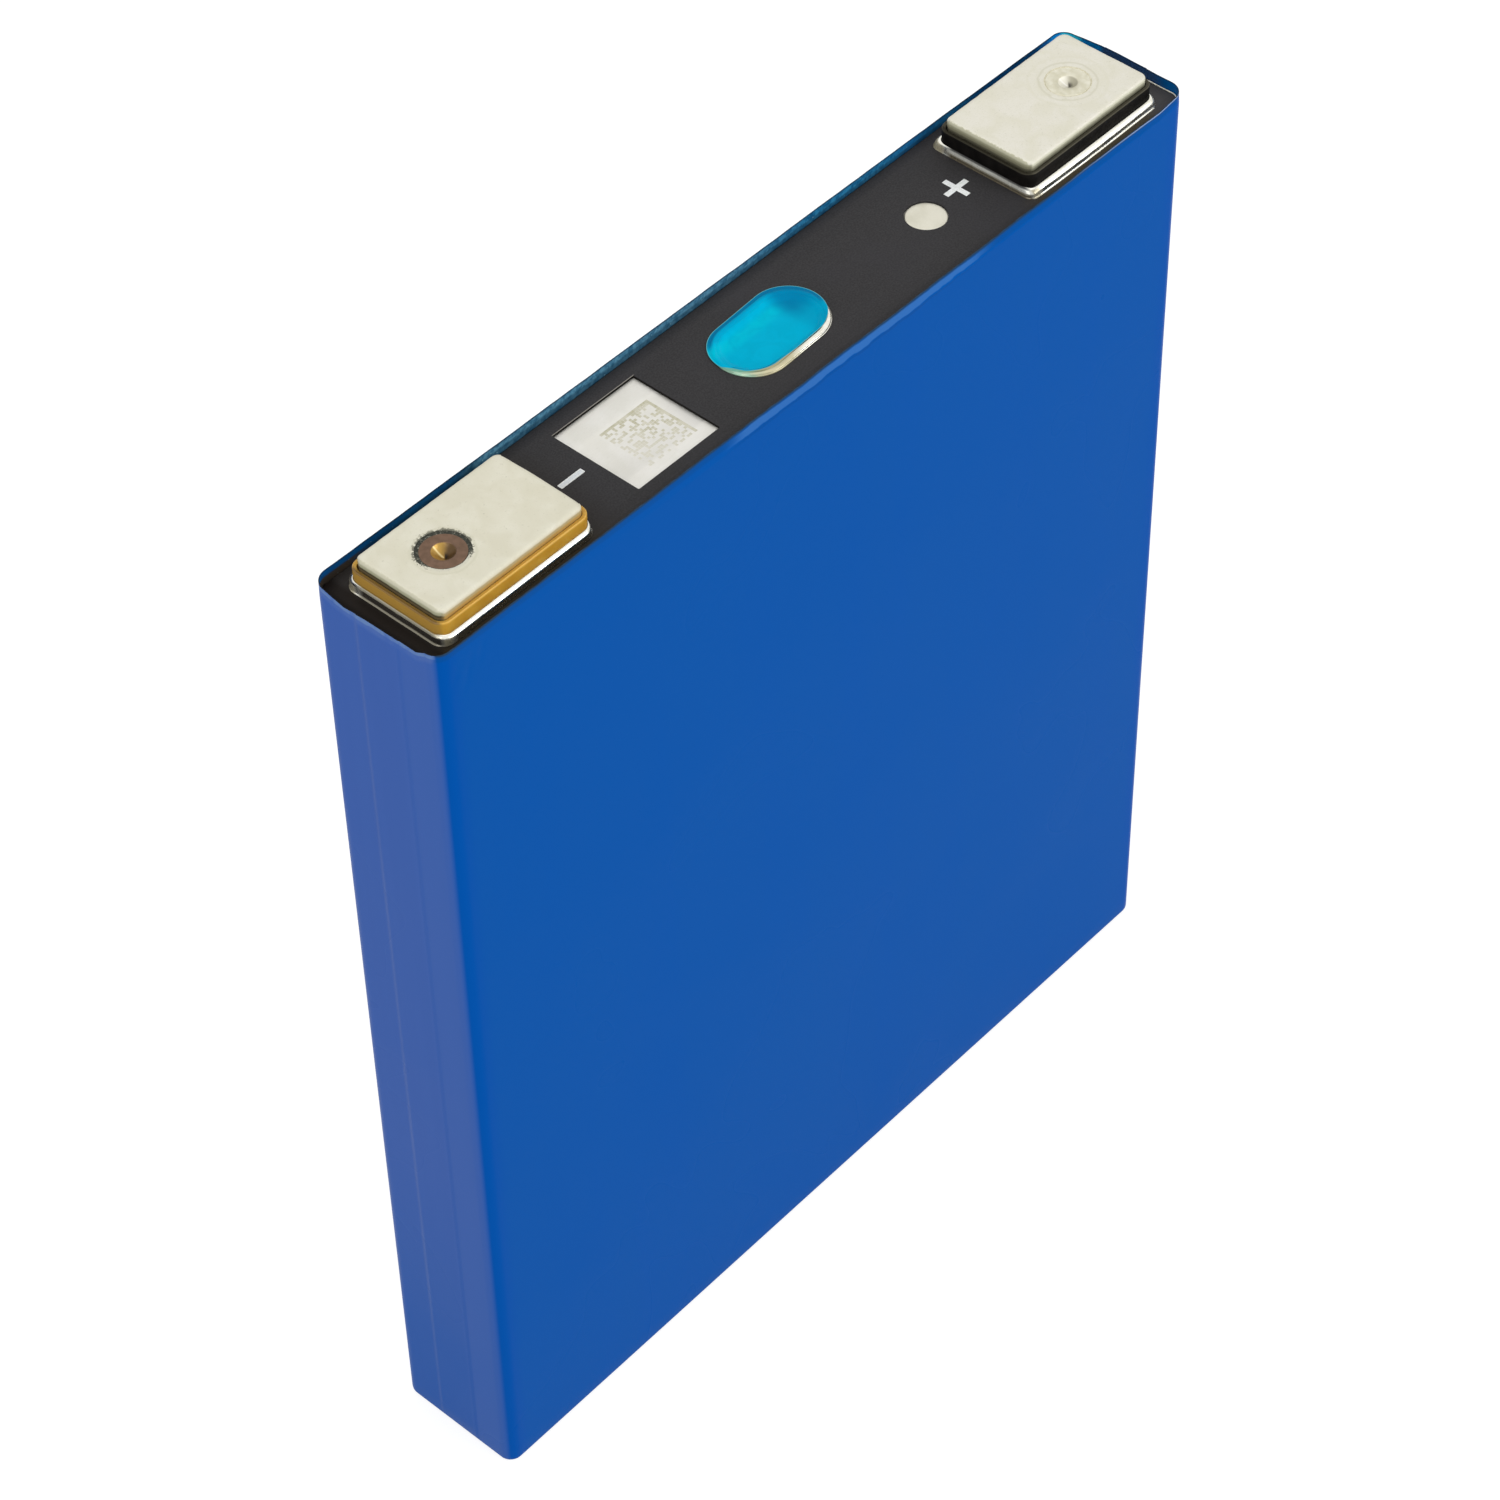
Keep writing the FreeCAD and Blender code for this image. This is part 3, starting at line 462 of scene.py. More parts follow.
def plate_aluminium(side, settings):
    """Stamped aluminium contact plate: a matte, finely grained face and a darker edge of painted shade and
    reflections.
    """
    name, worn, worn_tone, bevel = PLATE_FACES[side]
    # Grain of 0.05 mm is drawn at 0.2 mm, so that it still shows
    plate = Finish(
        name,
        [(0.2, 3, {"Roughness": 0.6}), (3.4, 4, {"Distortion": 0.6}), (0.35, 3)],
        Metallic=0.9, Roughness=0.5,
    )
    grain, clouds, specks = plate.patterns
    low, high = place(side + "_terminal_plate")
    face = plate.blend(settings.plate, worn_tone, worn)
    plate.colour = plate.blend(face, "#d6d3c3", (clouds, 0.3, 0.75))
    plate.lay("#cfccba", (grain, 0.45, 0.75, 0, 0.5))
    plate.lay("#b3b09c", (specks, 0.6, 0.75, 0, 0.3))
    away, across, along = about_post(plate, side)
    if side == "neg":
        # Soot has settled on the plate round the weld, most of it towards +X and +Y
        lean = plate.total((across, 0.45), (along, 0.9))
        near_weld = plate.where((away, 3.7, 4.5, 0, 0.4))
        soot = plate.total(specks, plate.where((lean, -3.6, 1.2, -0.16, 0.12)), (near_weld, -1.0))
        plate.lay("#4a4a3c", (soot, 0.44, 0.58, 0, 0.8))
    wobble = plate.total(away, plate.where((clouds, 0.3, 0.7, -0.15, 0.15)))
    for radius, width, strength, shade in ((4.15, 0.3, 0.5, "#c3c0ab"), (5.5, 0.4, 0.35, "#d2cfbc")):
        plate.lay(shade, (wobble, radius - width, radius), (wobble, radius + width, radius, 0, strength))
    inside = plate.total(plate.x, plate.where((specks, 0.3, 0.7, -0.1, 0.1)))
    # Painted shade on the bevel towards -X
    plate.lay(bevel, (inside, low[0] + 0.64, low[0] + 0.4))
    height = plate.total(plate.z, plate.where((specks, 0.3, 0.7, -0.02, 0.02)), -high[2])
    # Painted shade and reflections down the sides
    edges = []
    for shades in PLATE_EDGE_PAINTED_LIGHT[side]:
        shade = plate.colour
        for start, code in shades:
            shade = plate.blend(shade, code, (height, -start, -start - 0.28))
        edges.append(shade)
    plate.colour = plate.blend(edges[1], edges[0], (plate.x, low[0] + 1.0, low[0] + 0.5))
    edge = plate.where((plate.z, high[2] - 0.04, high[2] - 0.2))
    return plate.finished(
        grain, 0.008, Metallic=plate.total(0.9, (edge, -0.7)), Roughness=plate.where((edge, 0, 1, 0.5, 0.72))
    )


def about_post(finish, side):
    """Distance from a post's axis, and how far a place lies from it along X and along Y."""
    at = footprint(side + "_rivet")[1]
    across = finish.total(finish.x, -at[0])
    along = finish.total(finish.y, -at[1])
    squares = finish.total((across, across), (along, along))
    return finish.add("Math", {0: squares}, operation="SQRT"), across, along


def dimple_tone(finish, side, lit, streak, shaded, pit):
    """Painted light of a turned dimple: one lit wall with a bright streak, one in shade, and the pit in
    shade.
    """
    away, across, along = about_post(finish, side)
    lee = finish.total(across, (along, -1.0))
    body = finish.blend(lit, shaded, (lee, -0.7, 0.9))
    beam = finish.add("Math", {0: finish.total(across, (along, 0.15))}, operation="ABSOLUTE")
    body = finish.blend(body, streak, (beam, 0.22, 0.04), (along, 0.0, 0.25, 0, 0.85))
    return finish.blend(body, pit, (away, 0.85, 0.3), (lee, 0.0, 0.3))


def copper_head():
    """Turned copper post, browned by heat: a dull brown face and a golden dimple with painted light and
    shade.
    """
    post = Finish("copper_turned_browned", [(0.8, 4)], Metallic=1.0, Roughness=0.42)
    clouds = post.patterns[0]
    top = place("neg_rivet")[1][2]
    post.colour = post.blend("#775f4f", "#6a5546", (clouds, 0.3, 0.7))
    depth = post.where((post.z, top - 0.03, top - 0.14))
    post.lay(dimple_tone(post, "neg", "#b48f46", "#e6d094", "#5c4629", "#1f150b"), depth)
    return post.finished(
        clouds, 0.01, Metallic=post.where((depth, 0, 1, 1.0, 0.6)),
        Roughness=post.where((depth, 0, 1, 0.5, 0.32)),
    )


def aluminium_head():
    """Turned aluminium post: a pale mottled face and a dimple with one wall painted lit and one painted in
    shade.
    """
    post = Finish("aluminium_turned", [(0.9, 4)], Metallic=0.9, Roughness=0.5)
    clouds = post.patterns[0]
    top = place("pos_rivet")[1][2]
    post.colour = post.blend("#dedbcb", "#cecab4", (clouds, 0.3, 0.7))
    post.lay("#c4c0aa", (about_post(post, "pos")[0], 2.5, 1.5, 0, 0.45))
    depth = post.where((post.z, top - 0.03, top - 0.2))
    post.lay(dimple_tone(post, "pos", "#e6e3d5", "#f4f2ea", "#aaa692", "#57534a"), depth)
    return post.finished(clouds, 0.015, Metallic=post.where((depth, 0, 1, 0.9, 0.5)))


def sooty_weld():
    """Laser weld round the copper post: frozen ripples, black with soot except on its near side."""
    weld = Finish("weld_sooty", [(0.35, 5, {"Roughness": 0.7})], Metallic=0.5, Roughness=0.6)
    grains = weld.patterns[0]
    away, across, along = about_post(weld, "neg")
    lean = weld.total((across, 0.45), (along, 0.9))
    farther, nearer = weld.where((lean, -3.6, 1.2, -0.14, 0.27)), weld.where((away, 3.3, 3.15, 0, 0.3))
    soot = weld.blend("#2c2e25", "#8e8c7c", (grains, 0.52, 0.68))
    weld.colour = weld.blend("#cfccbb", soot, (weld.total(grains, farther, nearer), 0.46, 0.56))
    return weld.finished(grains, 0.05)


def weld_metal(name, light, dark, roughness, metallic):
    """Laser-melted metal: frozen ripples, dull where soot has settled."""
    weld = Finish(name, [(0.25, 4, {"Roughness": 0.7})], Metallic=metallic, Roughness=roughness)
    weld.colour = weld.blend(dark, light, (weld.patterns[0], 0.4, 0.62))
    return weld.finished(weld.patterns[0], 0.05)


def polyetherimide(settings):
    """Amber polyetherimide, moulded: clear enough to glow a little, with a glossy skin."""
    amber = Finish(
        "polyetherimide_moulded_amber", [(2.5, 3)], Roughness=0.32, IOR=1.63, Specular_IOR_Level=0.12,
        Subsurface_Weight=0.12, Subsurface_Scale=0.0006, Subsurface_Radius=(1.0, 0.55, 0.15),
    )
    x, z, flow = amber.x, amber.z, amber.patterns[0]
    low, high = place("neg_upper_insulator")
    amber.colour = amber.blend(settings.negative_tray, "#c29538", (flow, 0.35, 0.7))
    # A painted highlight along the top edge
    amber.lay("#d9ae55", (z, high[2] - 0.4, high[2] - 0.12, 0, 0.7))
    # The end towards -X is painted darker, as painted shade, most at its foot and as painted shadow under
    # the plate
    end = amber.where((x, low[0] + 0.8, low[0] + 0.2))
    amber.lay("#aa843b", end)
    amber.lay("#86682f", end, (z, low[2] + 2.4, low[2] + 2.0, 0, 0.7))
    amber.lay("#84683a", end, (z, high[2] - 0.3, high[2] - 0.1))
    return amber.finished(flow, 0.01)


def phenylene_sulfide(settings):
    """Black polyphenylene sulfide, moulded: deep black with a faint shine."""
    black = Finish(
        "polyphenylene_sulfide_moulded_black", [(1.8, 3)], Roughness=0.45, IOR=1.65, Specular_IOR_Level=0.03
    )
    flow = black.patterns[0]
    top = place("pos_upper_insulator")[1][2]
    black.colour = black.blend(settings.positive_tray, "#171513", (flow, 0.35, 0.7))
    # The brim's top is painted lighter, as painted sheen on a face turned up, and darker towards -X
    brim = black.blend("#545145", "#38352b", (black.x, 44.3, 43.8))
    black.lay(brim, (black.z, top - 0.16, top - 0.06, 0, 0.9))
    return black.finished(flow, 0.01)


def label_sheet(settings):
    """Charcoal polycarbonate sheet with a matte, embossed face and a fine even grain."""
    # The embossed grain of 0.1 mm is drawn at 0.25 mm, so that it still shows
    sheet = Finish(
        "polycarbonate_sheet_matte_charcoal", [(0.25, 3, {"Roughness": 0.6}), (12, 3)],
        Roughness=0.55, IOR=1.58, Specular_IOR_Level=0.06,
    )
    x, y, z = sheet.x, sheet.y, sheet.z
    grain, clouds = sheet.patterns
    top = place("top_label")[1][2]
    sheet.colour = sheet.blend(settings.label, "#3b3a3b", (grain, 0.3, 0.7))
    sheet.lay("#3b3a3e", (clouds, 0.4, 0.8, 0, 0.4))
    # Painted shade darkens the sheet round both terminals, and most at its -X end next to the film
    front_strip = (y, -7.5, -8.8)
    sheet.lay("#484748", (x, 64, 68))
    sheet.lay("#2e2a26", (x, -36, -46, 0, 0.7))
    sheet.lay("#322c22", front_strip, (x, -40, -48))
    sheet.lay("#453f32", front_strip, (x, 40, 48), (x, 70, 66))
    sheet.lay("#1f1a17", (x, -70.2, -71.4, 0, 0.9))
    sheet.lay("#0a0705", (x, -72.2, -73.2, 0, 0.8))
    # The code window's edge towards +Y gets a painted highlight, and the cut walls up to +X 20 get painted
    # shade
    sheet.lay("#85827b", (y, 7.98, 8.0), (y, 8.09, 8.07), (x, -18.0, -18.3), (x, -33.9, -33.5))
    sheet.lay("#100e0c", (z, top - 0.05, top - 0.07), (x, 20, 18))
    return sheet.finished(grain, 0.012)


def vent_polyester(settings):
    """Teal polyester film, pressed into a shallow dish: clear, glossy and slightly crumpled."""
    film = Finish(
        "polyester_film_teal", [(2.6, 3, {"Distortion": 1.2})],
        Roughness=0.18, IOR=1.57, Specular_IOR_Level=0.015,
    )
    x, y, crumple = film.x, film.y, film.patterns[0]
    film.colour = film.blend(settings.vent, "#00aed2", (crumple, 0.3, 0.7))
    # A painted highlight streak runs along X near the +Y side, and the part towards +X is darker
    film.lay("#00bcd6", (y, 0.9, 2.4), (y, 4.2, 3.1), (x, 5.0, 3.0), (crumple, 0.25, 0.65, 0.35, 0.9))
    film.lay("#006c9c", (x, 2.8, 6.0), (y, -1.5, 2.0, 0.3, 0.8))
    # Painted shade on the rim of the dish towards +Y and +X, and a painted highlight along its very edge
    edge = film.add("Attribute", out="Fac", attribute_name="from_edge")
    lee = film.total(y, (x, 0.3))
    film.lay("#0488b4", (edge, 1.7, 1.1), (lee, 1.0, 3.0, 0, 0.5))
    film.lay("#0472a0", (edge, 0.95, 0.6), (lee, 0.5, 2.5, 0, 0.85))
    film.lay("#4cc0cc", (edge, 0.14, 0.06), (lee, -1.0, 1.0, 0.2, 0.75))
    # Towards -X and -Y it is folded over the ridge and its glue has gone milky
    fold = film.where((x, 0.0, -6.0, 0, 0.45), (y, 0.5, -2.0))
    past = film.total(edge, (fold, -1.0))
    film.lay("#06809e", (past, 0.62, 0.52), (past, 0.3, 0.4), (fold, 0.1, 0.3, 0, 0.8))
    film.lay(film.blend("#b3b08a", "#6fae9a", (x, -6.0, -9.5)), (past, 0.06, -0.04))
    return film.finished(crumple, 0.03)


def etched_aluminium():
    """Aluminium, frosted by a laser: duller and greyer than the lid, and fainter towards -X and -Y."""
    etched = Finish("aluminium_laser_etched", [(0.3, 3), (1.3, 2)], Metallic=0.7, Roughness=0.6)
    grain, patchy = etched.patterns
    frost = etched.blend("#c6c3ae", "#b5b198", (grain, 0.3, 0.7))
    frost = etched.blend(frost, "#d3d0c2", (patchy, 0.4, 0.65, 0, 0.7))
    etched.colour = etched.blend("#d3d0c3", frost, (etched.total(etched.x, etched.y), -31, -22))
    return etched.finished(grain, 0.01)


def two_tone(name, light, dark, blob, depth, detail=3, **sockets):
    """A finish of two close tones with a low bump of the same grain."""
    finish = Finish(name, [(blob, detail)], **sockets)
    finish.colour = finish.blend(light, dark, (finish.patterns[0], 0.3, 0.7))
    return finish.finished(finish.patterns[0], depth)


def screen_ink(name, light, dark):
    """Screen-printed ink: dull, opaque, with a faint mesh texture."""
    return two_tone(name, light, dark, 0.2, 0.004, 2, Roughness=0.6, Specular_IOR_Level=0.3)


# ---- Materials of the pieces inside ----


def both_cores(piece):
    """Names of the same piece in the two wound cores."""
    return ["front_core_" + piece, "back_core_" + piece]


# Two tones, blob in millimetres, roughness, metallic, bump in millimetres, and the pieces
INNER_FINISHES = {
    # Pale and dull, with the pressed fibres showing as specks
    "glass_fibre_sheet_pressed": ("#d9d4c6", "#c4bda8", 0.6, 0.7, 0.0, 0.02, ["base_pad"]),
    # Drawn and rolled aluminium: bright, and the thicker the softer its highlights
    "aluminium_deep_drawn": ("#dcdad0", "#c8c6bc", 2.0, 0.35, 1.0, 0.005, ["can"]),
    "aluminium_membrane_rolled": ("#dad8ce", "#cbc9bf", 0.8, 0.3, 1.0, 0.004, ["vent_disc"]),
    # Milky white with a soft shine
    "polypropylene_moulded_white": (
        "#ebe8df", "#dedacf", 3.0, 0.5, 0.0, 0.01,
        ["vent_guard", "insulating_bag", "core_spacer", "neg_lower_insulator", "pos_lower_insulator"],
    ),
    # Nearly black and dull
    "rubber_moulded_black": (
        "#262626", "#1b1b1b", 0.7, 0.75, 0.0, 0.02, ["fill_plug", "neg_seal_ring", "pos_seal_ring"]
    ),
    # Glossy blue
    "polyimide_tape_blue": ("#2a6fb0", "#235f9a", 1.5, 0.3, 0.0, 0.006, ["core_tapes", "tab_weld_tapes"]),
    # Rolled metals: the foils are creased, so they scatter more light than the sheet
    "copper_sheet_rolled": ("#c07c50", "#ab6a41", 1.6, 0.32, 1.0, 0.006, ["neg_collector"]),
    "copper_foil_rolled": ("#bd7a4e", "#a4663e", 0.7, 0.38, 1.0, 0.01, both_cores("neg_tabs")),
    "aluminium_foil_rolled": (
        "#d8d6cc", "#c2c0b6", 0.7, 0.35, 1.0, 0.01, ["pos_collector", *both_cores("pos_tabs")]
    ),
    # Pressed powders: dark and matte, the graphite with a trace of metal shine
    "graphite_coating_pressed": ("#232325", "#19191b", 0.3, 0.62, 0.1, 0.008, both_cores("anode")),
    "cathode_coating_pressed": ("#303136", "#232429", 0.3, 0.66, 0.0, 0.008, both_cores("cathode")),
    # White and silky
    "polyethylene_separator_stretched": (
        "#f0f0ec", "#e2e2dc", 1.2, 0.55, 0.0, 0.004, both_cores("separators")
    ),
}


# ---- Mesh building, in millimetres ----


def share_of(value, start, end):
    """How far a value has come from start to end, held between 0 and 1."""
    return min(1.0, max(0.0, (value - start) / (end - start)))


def heading(degrees):
    """Direction of length 1 in the plan."""
    return np.array([math.cos(math.radians(degrees)), math.sin(math.radians(degrees))])


def turned(points, turn):
    """Points in the plan, turned about 0, 0."""
    across, along = np.transpose(points)
    return np.column_stack(
        [across * math.cos(turn) - along * math.sin(turn), across * math.sin(turn) + along * math.cos(turn)]
    )


def outline(size, corner, step, corner_steps):
    """Places and outward directions round a rectangle with round corners, counter-clockwise."""
    places, directions = [], []
    straight = np.array([size[0] / 2 - corner, size[1] / 2 - corner])
    for index, signs in enumerate(CORNERS):
        for turn in range(corner_steps + 1):
            direction = heading(90 * (index - 1 + turn / corner_steps))
            places.append(straight * signs + corner * direction)
            directions.append(direction)
        start = places[-1]
        run = 2 * straight[1 - index % 2]
        count = max(2, round(run / step))
        for part in range(1, count):
            places.append(start + np.array([-direction[1], direction[0]]) * run * part / count)
            directions.append(direction)
    return np.array(places), np.array(directions)


def ring_points(size, corner, middle, step=1.0, corner_steps=10):
    """Places round a rectangle with round corners."""
    return outline(size, corner, step, corner_steps)[0] + middle


def stadium_points(size):
    """Places round a slot with round ends about 0, 0."""
    return ring_points(size, size[1] / 2 - 1e-3, (0, 0), 0.8, 18)


def circle_points(radius, middle, count=72):
    """Places round a circle."""
    turns = 2 * math.pi * np.arange(count) / count
    return np.column_stack([np.cos(turns), np.sin(turns)]) * radius + middle


def raised(spots, height):
    """Places in the plan, all put at one height."""
    return np.column_stack([spots, np.full(len(spots), height)])


def lathe(section, middle):
    """Turn a section of (radius, height) points about an upright axis."""
    return np.array([raised(circle_points(radius, middle, 96), height) for radius, height in section])


def holed_slab(size, corner, middle, hole, section):
    """Slab with one round hole, from rows of (share, radius, outward, height), and its directions.

    A row with share 0 is a circle of that radius about the hole, one with share 1 is the
    slab's outline moved outward, and those between are blends of the two.
    """
    places, directions = outline(size, corner, 0.4, 10)
    places = places + middle
    away = places - hole
    spokes = away / np.linalg.norm(away, axis=1)[:, None]
    rows = []
    for share, radius, outward, height in section:
        circle = np.array(hole) + radius * spokes
        rows.append(raised(circle * (1 - share) + (places + directions * outward) * share, height))
    return np.array(rows), directions


def ripple(place_mm, feature, seed):
    """Smooth random number between -1 and 1 at a place, with blobs of the given size."""
    return noise.noise(Vector(place_mm) / feature + Vector((seed * 17.3, seed * 5.1, seed * 9.7)))


def clean(name, mesh):
    """Merge a mesh's doubled points, turn its faces outward and check that it's closed."""
    body = bmesh.new()
    body.from_mesh(mesh)
    bmesh.ops.remove_doubles(body, verts=body.verts, dist=1e-7)
    bmesh.ops.recalc_face_normals(body, faces=body.faces)
    open_edges = [edge for edge in body.edges if not edge.is_manifold]
    if open_edges:
        raise RuntimeError(f"{name} isn't closed at {len(open_edges)} edges")
    body.to_mesh(mesh)
    body.free()


def add_piece(name, mesh, materials, replaced=(), sharp=30):
    """Link a mesh as a piece that rides on the cell, shaded smooth between its sharp edges."""
    for material in materials:
        mesh.materials.append(material)
    mesh.shade_smooth()
    mesh.set_sharp_from_angle(angle=math.radians(sharp))
    piece = bpy.data.objects.new(name, mesh)
    bpy.context.scene.collection.objects.link(piece)
    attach(piece, BODY)
    if replaced:
        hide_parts(*replaced)


def make_piece(name, rows, materials, replaced, sharp=35, ends="joined", marks=None, values=None):
    """Skin rows of points, each row a loop, into a closed piece.

    ends says what becomes of the first and the last row: joined to each other, capped, or left
    because each has shrunk onto itself. marks is each face's material, and values holds named
    numbers for each point.
    """
    rows = np.asarray(rows, float)
    here = np.arange(rows.shape[0] * rows.shape[1]).reshape(rows.shape[:2])
    beside = np.roll(here, -1, axis=1)
    faces = np.stack([here, beside, np.roll(beside, -1, axis=0), np.roll(here, -1, axis=0)], axis=2)
    faces = (faces if ends == "joined" else faces[:-1]).reshape(-1, 4).tolist()
    if ends == "capped":
        faces += [here[0, ::-1].tolist(), here[-1].tolist()]
    mesh = bpy.data.meshes.new(name)
    mesh.from_pydata((rows.reshape(-1, 3) * MM).tolist(), [], faces)
    if marks:
        mesh.polygons.foreach_set("material_index", marks)
    for label, numbers in (values or {}).items():
        mesh.attributes.new(label, "FLOAT", "POINT").data.foreach_set("value", numbers)
    clean(name, mesh)
    add_piece(name, mesh, materials, replaced, sharp)


def cut_sheet(name, outlines, bottom, top, bevel, material, replaced):
    """Flat sheet with holes, cut from closed outlines, with slightly rounded cut edges."""
    curve = bpy.data.curves.new(name, "CURVE")
    curve.dimensions = "2D"
    curve.fill_mode = "BOTH"
    for ring in outlines:
        line = curve.splines.new("POLY")
        line.points.add(len(ring) - 1)
        for point, (x, y) in zip(line.points, ring):
            point.co = (x * MM, y * MM, 0, 1)
        line.use_cyclic_u = True
    curve.extrude = ((top - bottom) / 2 - bevel) * MM
    curve.bevel_depth = bevel * MM
    curve.bevel_resolution = 2
    curve.offset = -bevel * MM
    shape = bpy.data.objects.new(name + "_outline", curve)
    mesh = bpy.data.meshes.new_from_object(shape)
    bpy.data.objects.remove(shape)
    bpy.data.curves.remove(curve)
    mesh.transform(Matrix.Translation((0, 0, (top + bottom) / 2 * MM)))
    mesh.name = name
    clean(name, mesh)
    add_piece(name, mesh, [material], [replaced])


# ---- The wrap ----


def wrap_columns(half):
    """Round the wrap: places, outward directions, cut height above the label, lean and flap."""
    straight = np.array([half[0] - WRAP_CORNER, half[1] - WRAP_CORNER])
    # Columns stand closer together towards -X, where the film has its creases
    fine = np.concatenate([np.linspace(-straight[0], -52, 48), np.linspace(-52, straight[0], 112)[1:]])
    slope = 0.05  # half the width of the step beside the flap
    across = np.concatenate([
        np.linspace(-straight[1], FLAP_LOW - slope, 12),
        np.linspace(FLAP_LOW + slope, FLAP_HIGH - slope, 18),
        np.linspace(FLAP_HIGH + slope, straight[1], 12),
    ])
    sides = [
        (fine, RIM_FRONT, LEAN_FRONT),
        (across, RIM_FAR, LEAN_FAR),
        (fine[::-1], RIM_BACK, LEAN_BACK),
        (across[::-1], RIM_NEAR, LEAN_NEAR),
    ]
    columns = []
    for index, (runs, *curves) in enumerate(sides):
        direction = heading(90 * (index - 1))
        narrow = index % 2
        for run in runs:
            spot = direction * half
            spot[narrow] = run
            flap = FLAP_STEP if narrow and FLAP_LOW < run < FLAP_HIGH else 0.0
            columns.append((spot, direction, *(np.interp(run, *zip(*curve)) for curve in curves), flap))
        following = sides[(index + 1) % 4]
        start = [np.interp(runs[-1], *zip(*curve)) for curve in curves]
        end = [np.interp(following[0][0], *zip(*curve)) for curve in following[1:]]
        for part in range(1, 12):
            share = part / 12
            direction = heading(90 * (index - 1 + share))
            height, lean = (a * (1 - share) + b * share for a, b in zip(start, end))
            spot = straight * CORNERS[index] + WRAP_CORNER * direction
            columns.append((spot, direction, height, lean, 0.0))
    return columns


def wrap_wave(x, y, z, depth):
    """How far the film lies below its flattest at a place on the wrap, in millimetres."""
    slow = 0.5 + 0.5 * ripple((x, y * 2, z * 0.6), 26, 1)
    streak = 0.5 + 0.5 * ripple((x, y * 2, z * 0.05), 5, 2)
    return depth * (0.75 * slow + 0.25 * streak)


# Creases beside the front corner at the negative end: where each starts in X and Z, how far it
# moves towards -X on its way down, its depth and its length
CREASES = [(-67.5, 169.0, 0.35, 0.06, 7.0), (-65.8, 169.4, 0.25, 0.05, 5.0), (-69.6, 168.6, 0.6, 0.04, 5.0)]


def corner_crease(x, y, z):
    """Depth of the small creases at a place on the wrap."""
    depth = 0.0
    for start_x, start_z, slope, size, reach in CREASES:
        down = start_z - z
        if y <= -9 and 0 <= down <= reach:
            across = (x - (start_x - slope * down)) / 0.5
            depth += size * math.exp(-across * across) * math.sin(math.pi * down / reach)
    return depth


class CELL_OT_wrap(bpy.types.Operator):
    """Build the blue film folded round the can, with its flap, waves and hand-cut rim"""

    bl_idname = "cell.wrap"
    bl_label = "Wrap"

    def execute(self, context):
        settings = context.scene.cell_wrap
        high = place("wrap_film")[1]
        label_top = place("top_label")[1][2]
        lid_top = place("can")[1][2]
        thick = settings.thickness / MM
        columns = wrap_columns((high[0] - FLAP_STEP, high[1]))
        below = []

        def ring(height, inset=0.0, sink=0.0, free=0.0):
            """One row at a height, or the given share of the way from there to the cut edge."""
            row = []
            for spot, direction, rim, lean, flap in columns:
                top = label_top + rim + 0.05 * ripple((*spot, 0), 2.2, 3)
                z = height + (top - height) * free
                dip = wrap_wave(*spot, z, settings.wave / MM) + corner_crease(*spot, z)
                if z > lid_top:
                    dip += lean * (z - lid_top) / (top - lid_top) * (1 + 0.5 * ripple((*spot, 0), 9, 4))
                out = flap * share_of(z, 0.9, 1.3) - dip - inset - sink
                row.append((*(spot + direction * out), z))
                below.append(top - z)
            return row

        def bend(radius, inset, turns):
            """Rows round the film's bottom edge."""
            rise, sink = radius * (1 - np.cos(turns)), radius * (1 - np.sin(turns))
            return [ring(inset + up, inset, back) for up, back in zip(rise, sink)]

        quarter = math.pi / 2
        flat = [WRAP_BASE_EDGE + 2.4 * step for step in range(1, 60)]
        flat += list(np.linspace(flat[-1] + 1, lid_top - 0.15, 28))
        free = np.linspace(0, 1, 13)
        outer = bend(WRAP_BASE_EDGE, 0.0, np.linspace(0, quarter, 7))
        outer += [ring(z) for z in flat]
        outer += [ring(lid_top - 0.05, free=share) for share in free]
        inner = [ring(lid_top - 0.05, thick, free=share) for share in free[::-1]]
        inner += [ring(z, thick) for z in (160.0, 140.0, 110.0, 80.0, 50.0, 20.0, WRAP_BASE_EDGE)]
        inner += bend(WRAP_BASE_EDGE - thick, thick, np.linspace(quarter * 0.8, 0, 5))
        # Material of each band of faces: 0 outside, 2 on the cut edge, 1 on the glue's side
        bands = [0] * (len(outer) - 1) + [2] + [1] * (len(inner) - 1)
        make_piece(
            "wrap", outer + inner, [pet_film(settings), film_glue_side(), film_cut_edge()],
            ["wrap_film"], sharp=50, ends="capped",
            marks=[band for band in bands for _ in columns] + [0, 1], values={"below_rim": below},
        )
        return {"FINISHED"}


# ---- Lid, label and what is on them ----


def collar_plan(side, gap=0.0):
    """Outer size and middle of the lid's collar round one tray, grown by a gap."""
    size, middle = footprint(side + "_upper_insulator")[:2]
    low_x, high_x, both_y = COLLARS[side]["reach"]
    outer = (size[0] + low_x + high_x + 2 * gap, size[1] + 2 * both_y + 2 * gap)
    return outer, (middle[0] + (high_x - low_x) / 2, middle[1])


def nearest_on(size, corner, spot):
    """Nearest place to a spot on the outline of a rectangle with round corners about 0, 0."""
    core = np.array([size[0] / 2 - corner, size[1] / 2 - corner])
    inside = np.clip(spot, -core, core)
    away = spot - inside
    return inside + corner * away / np.linalg.norm(away)


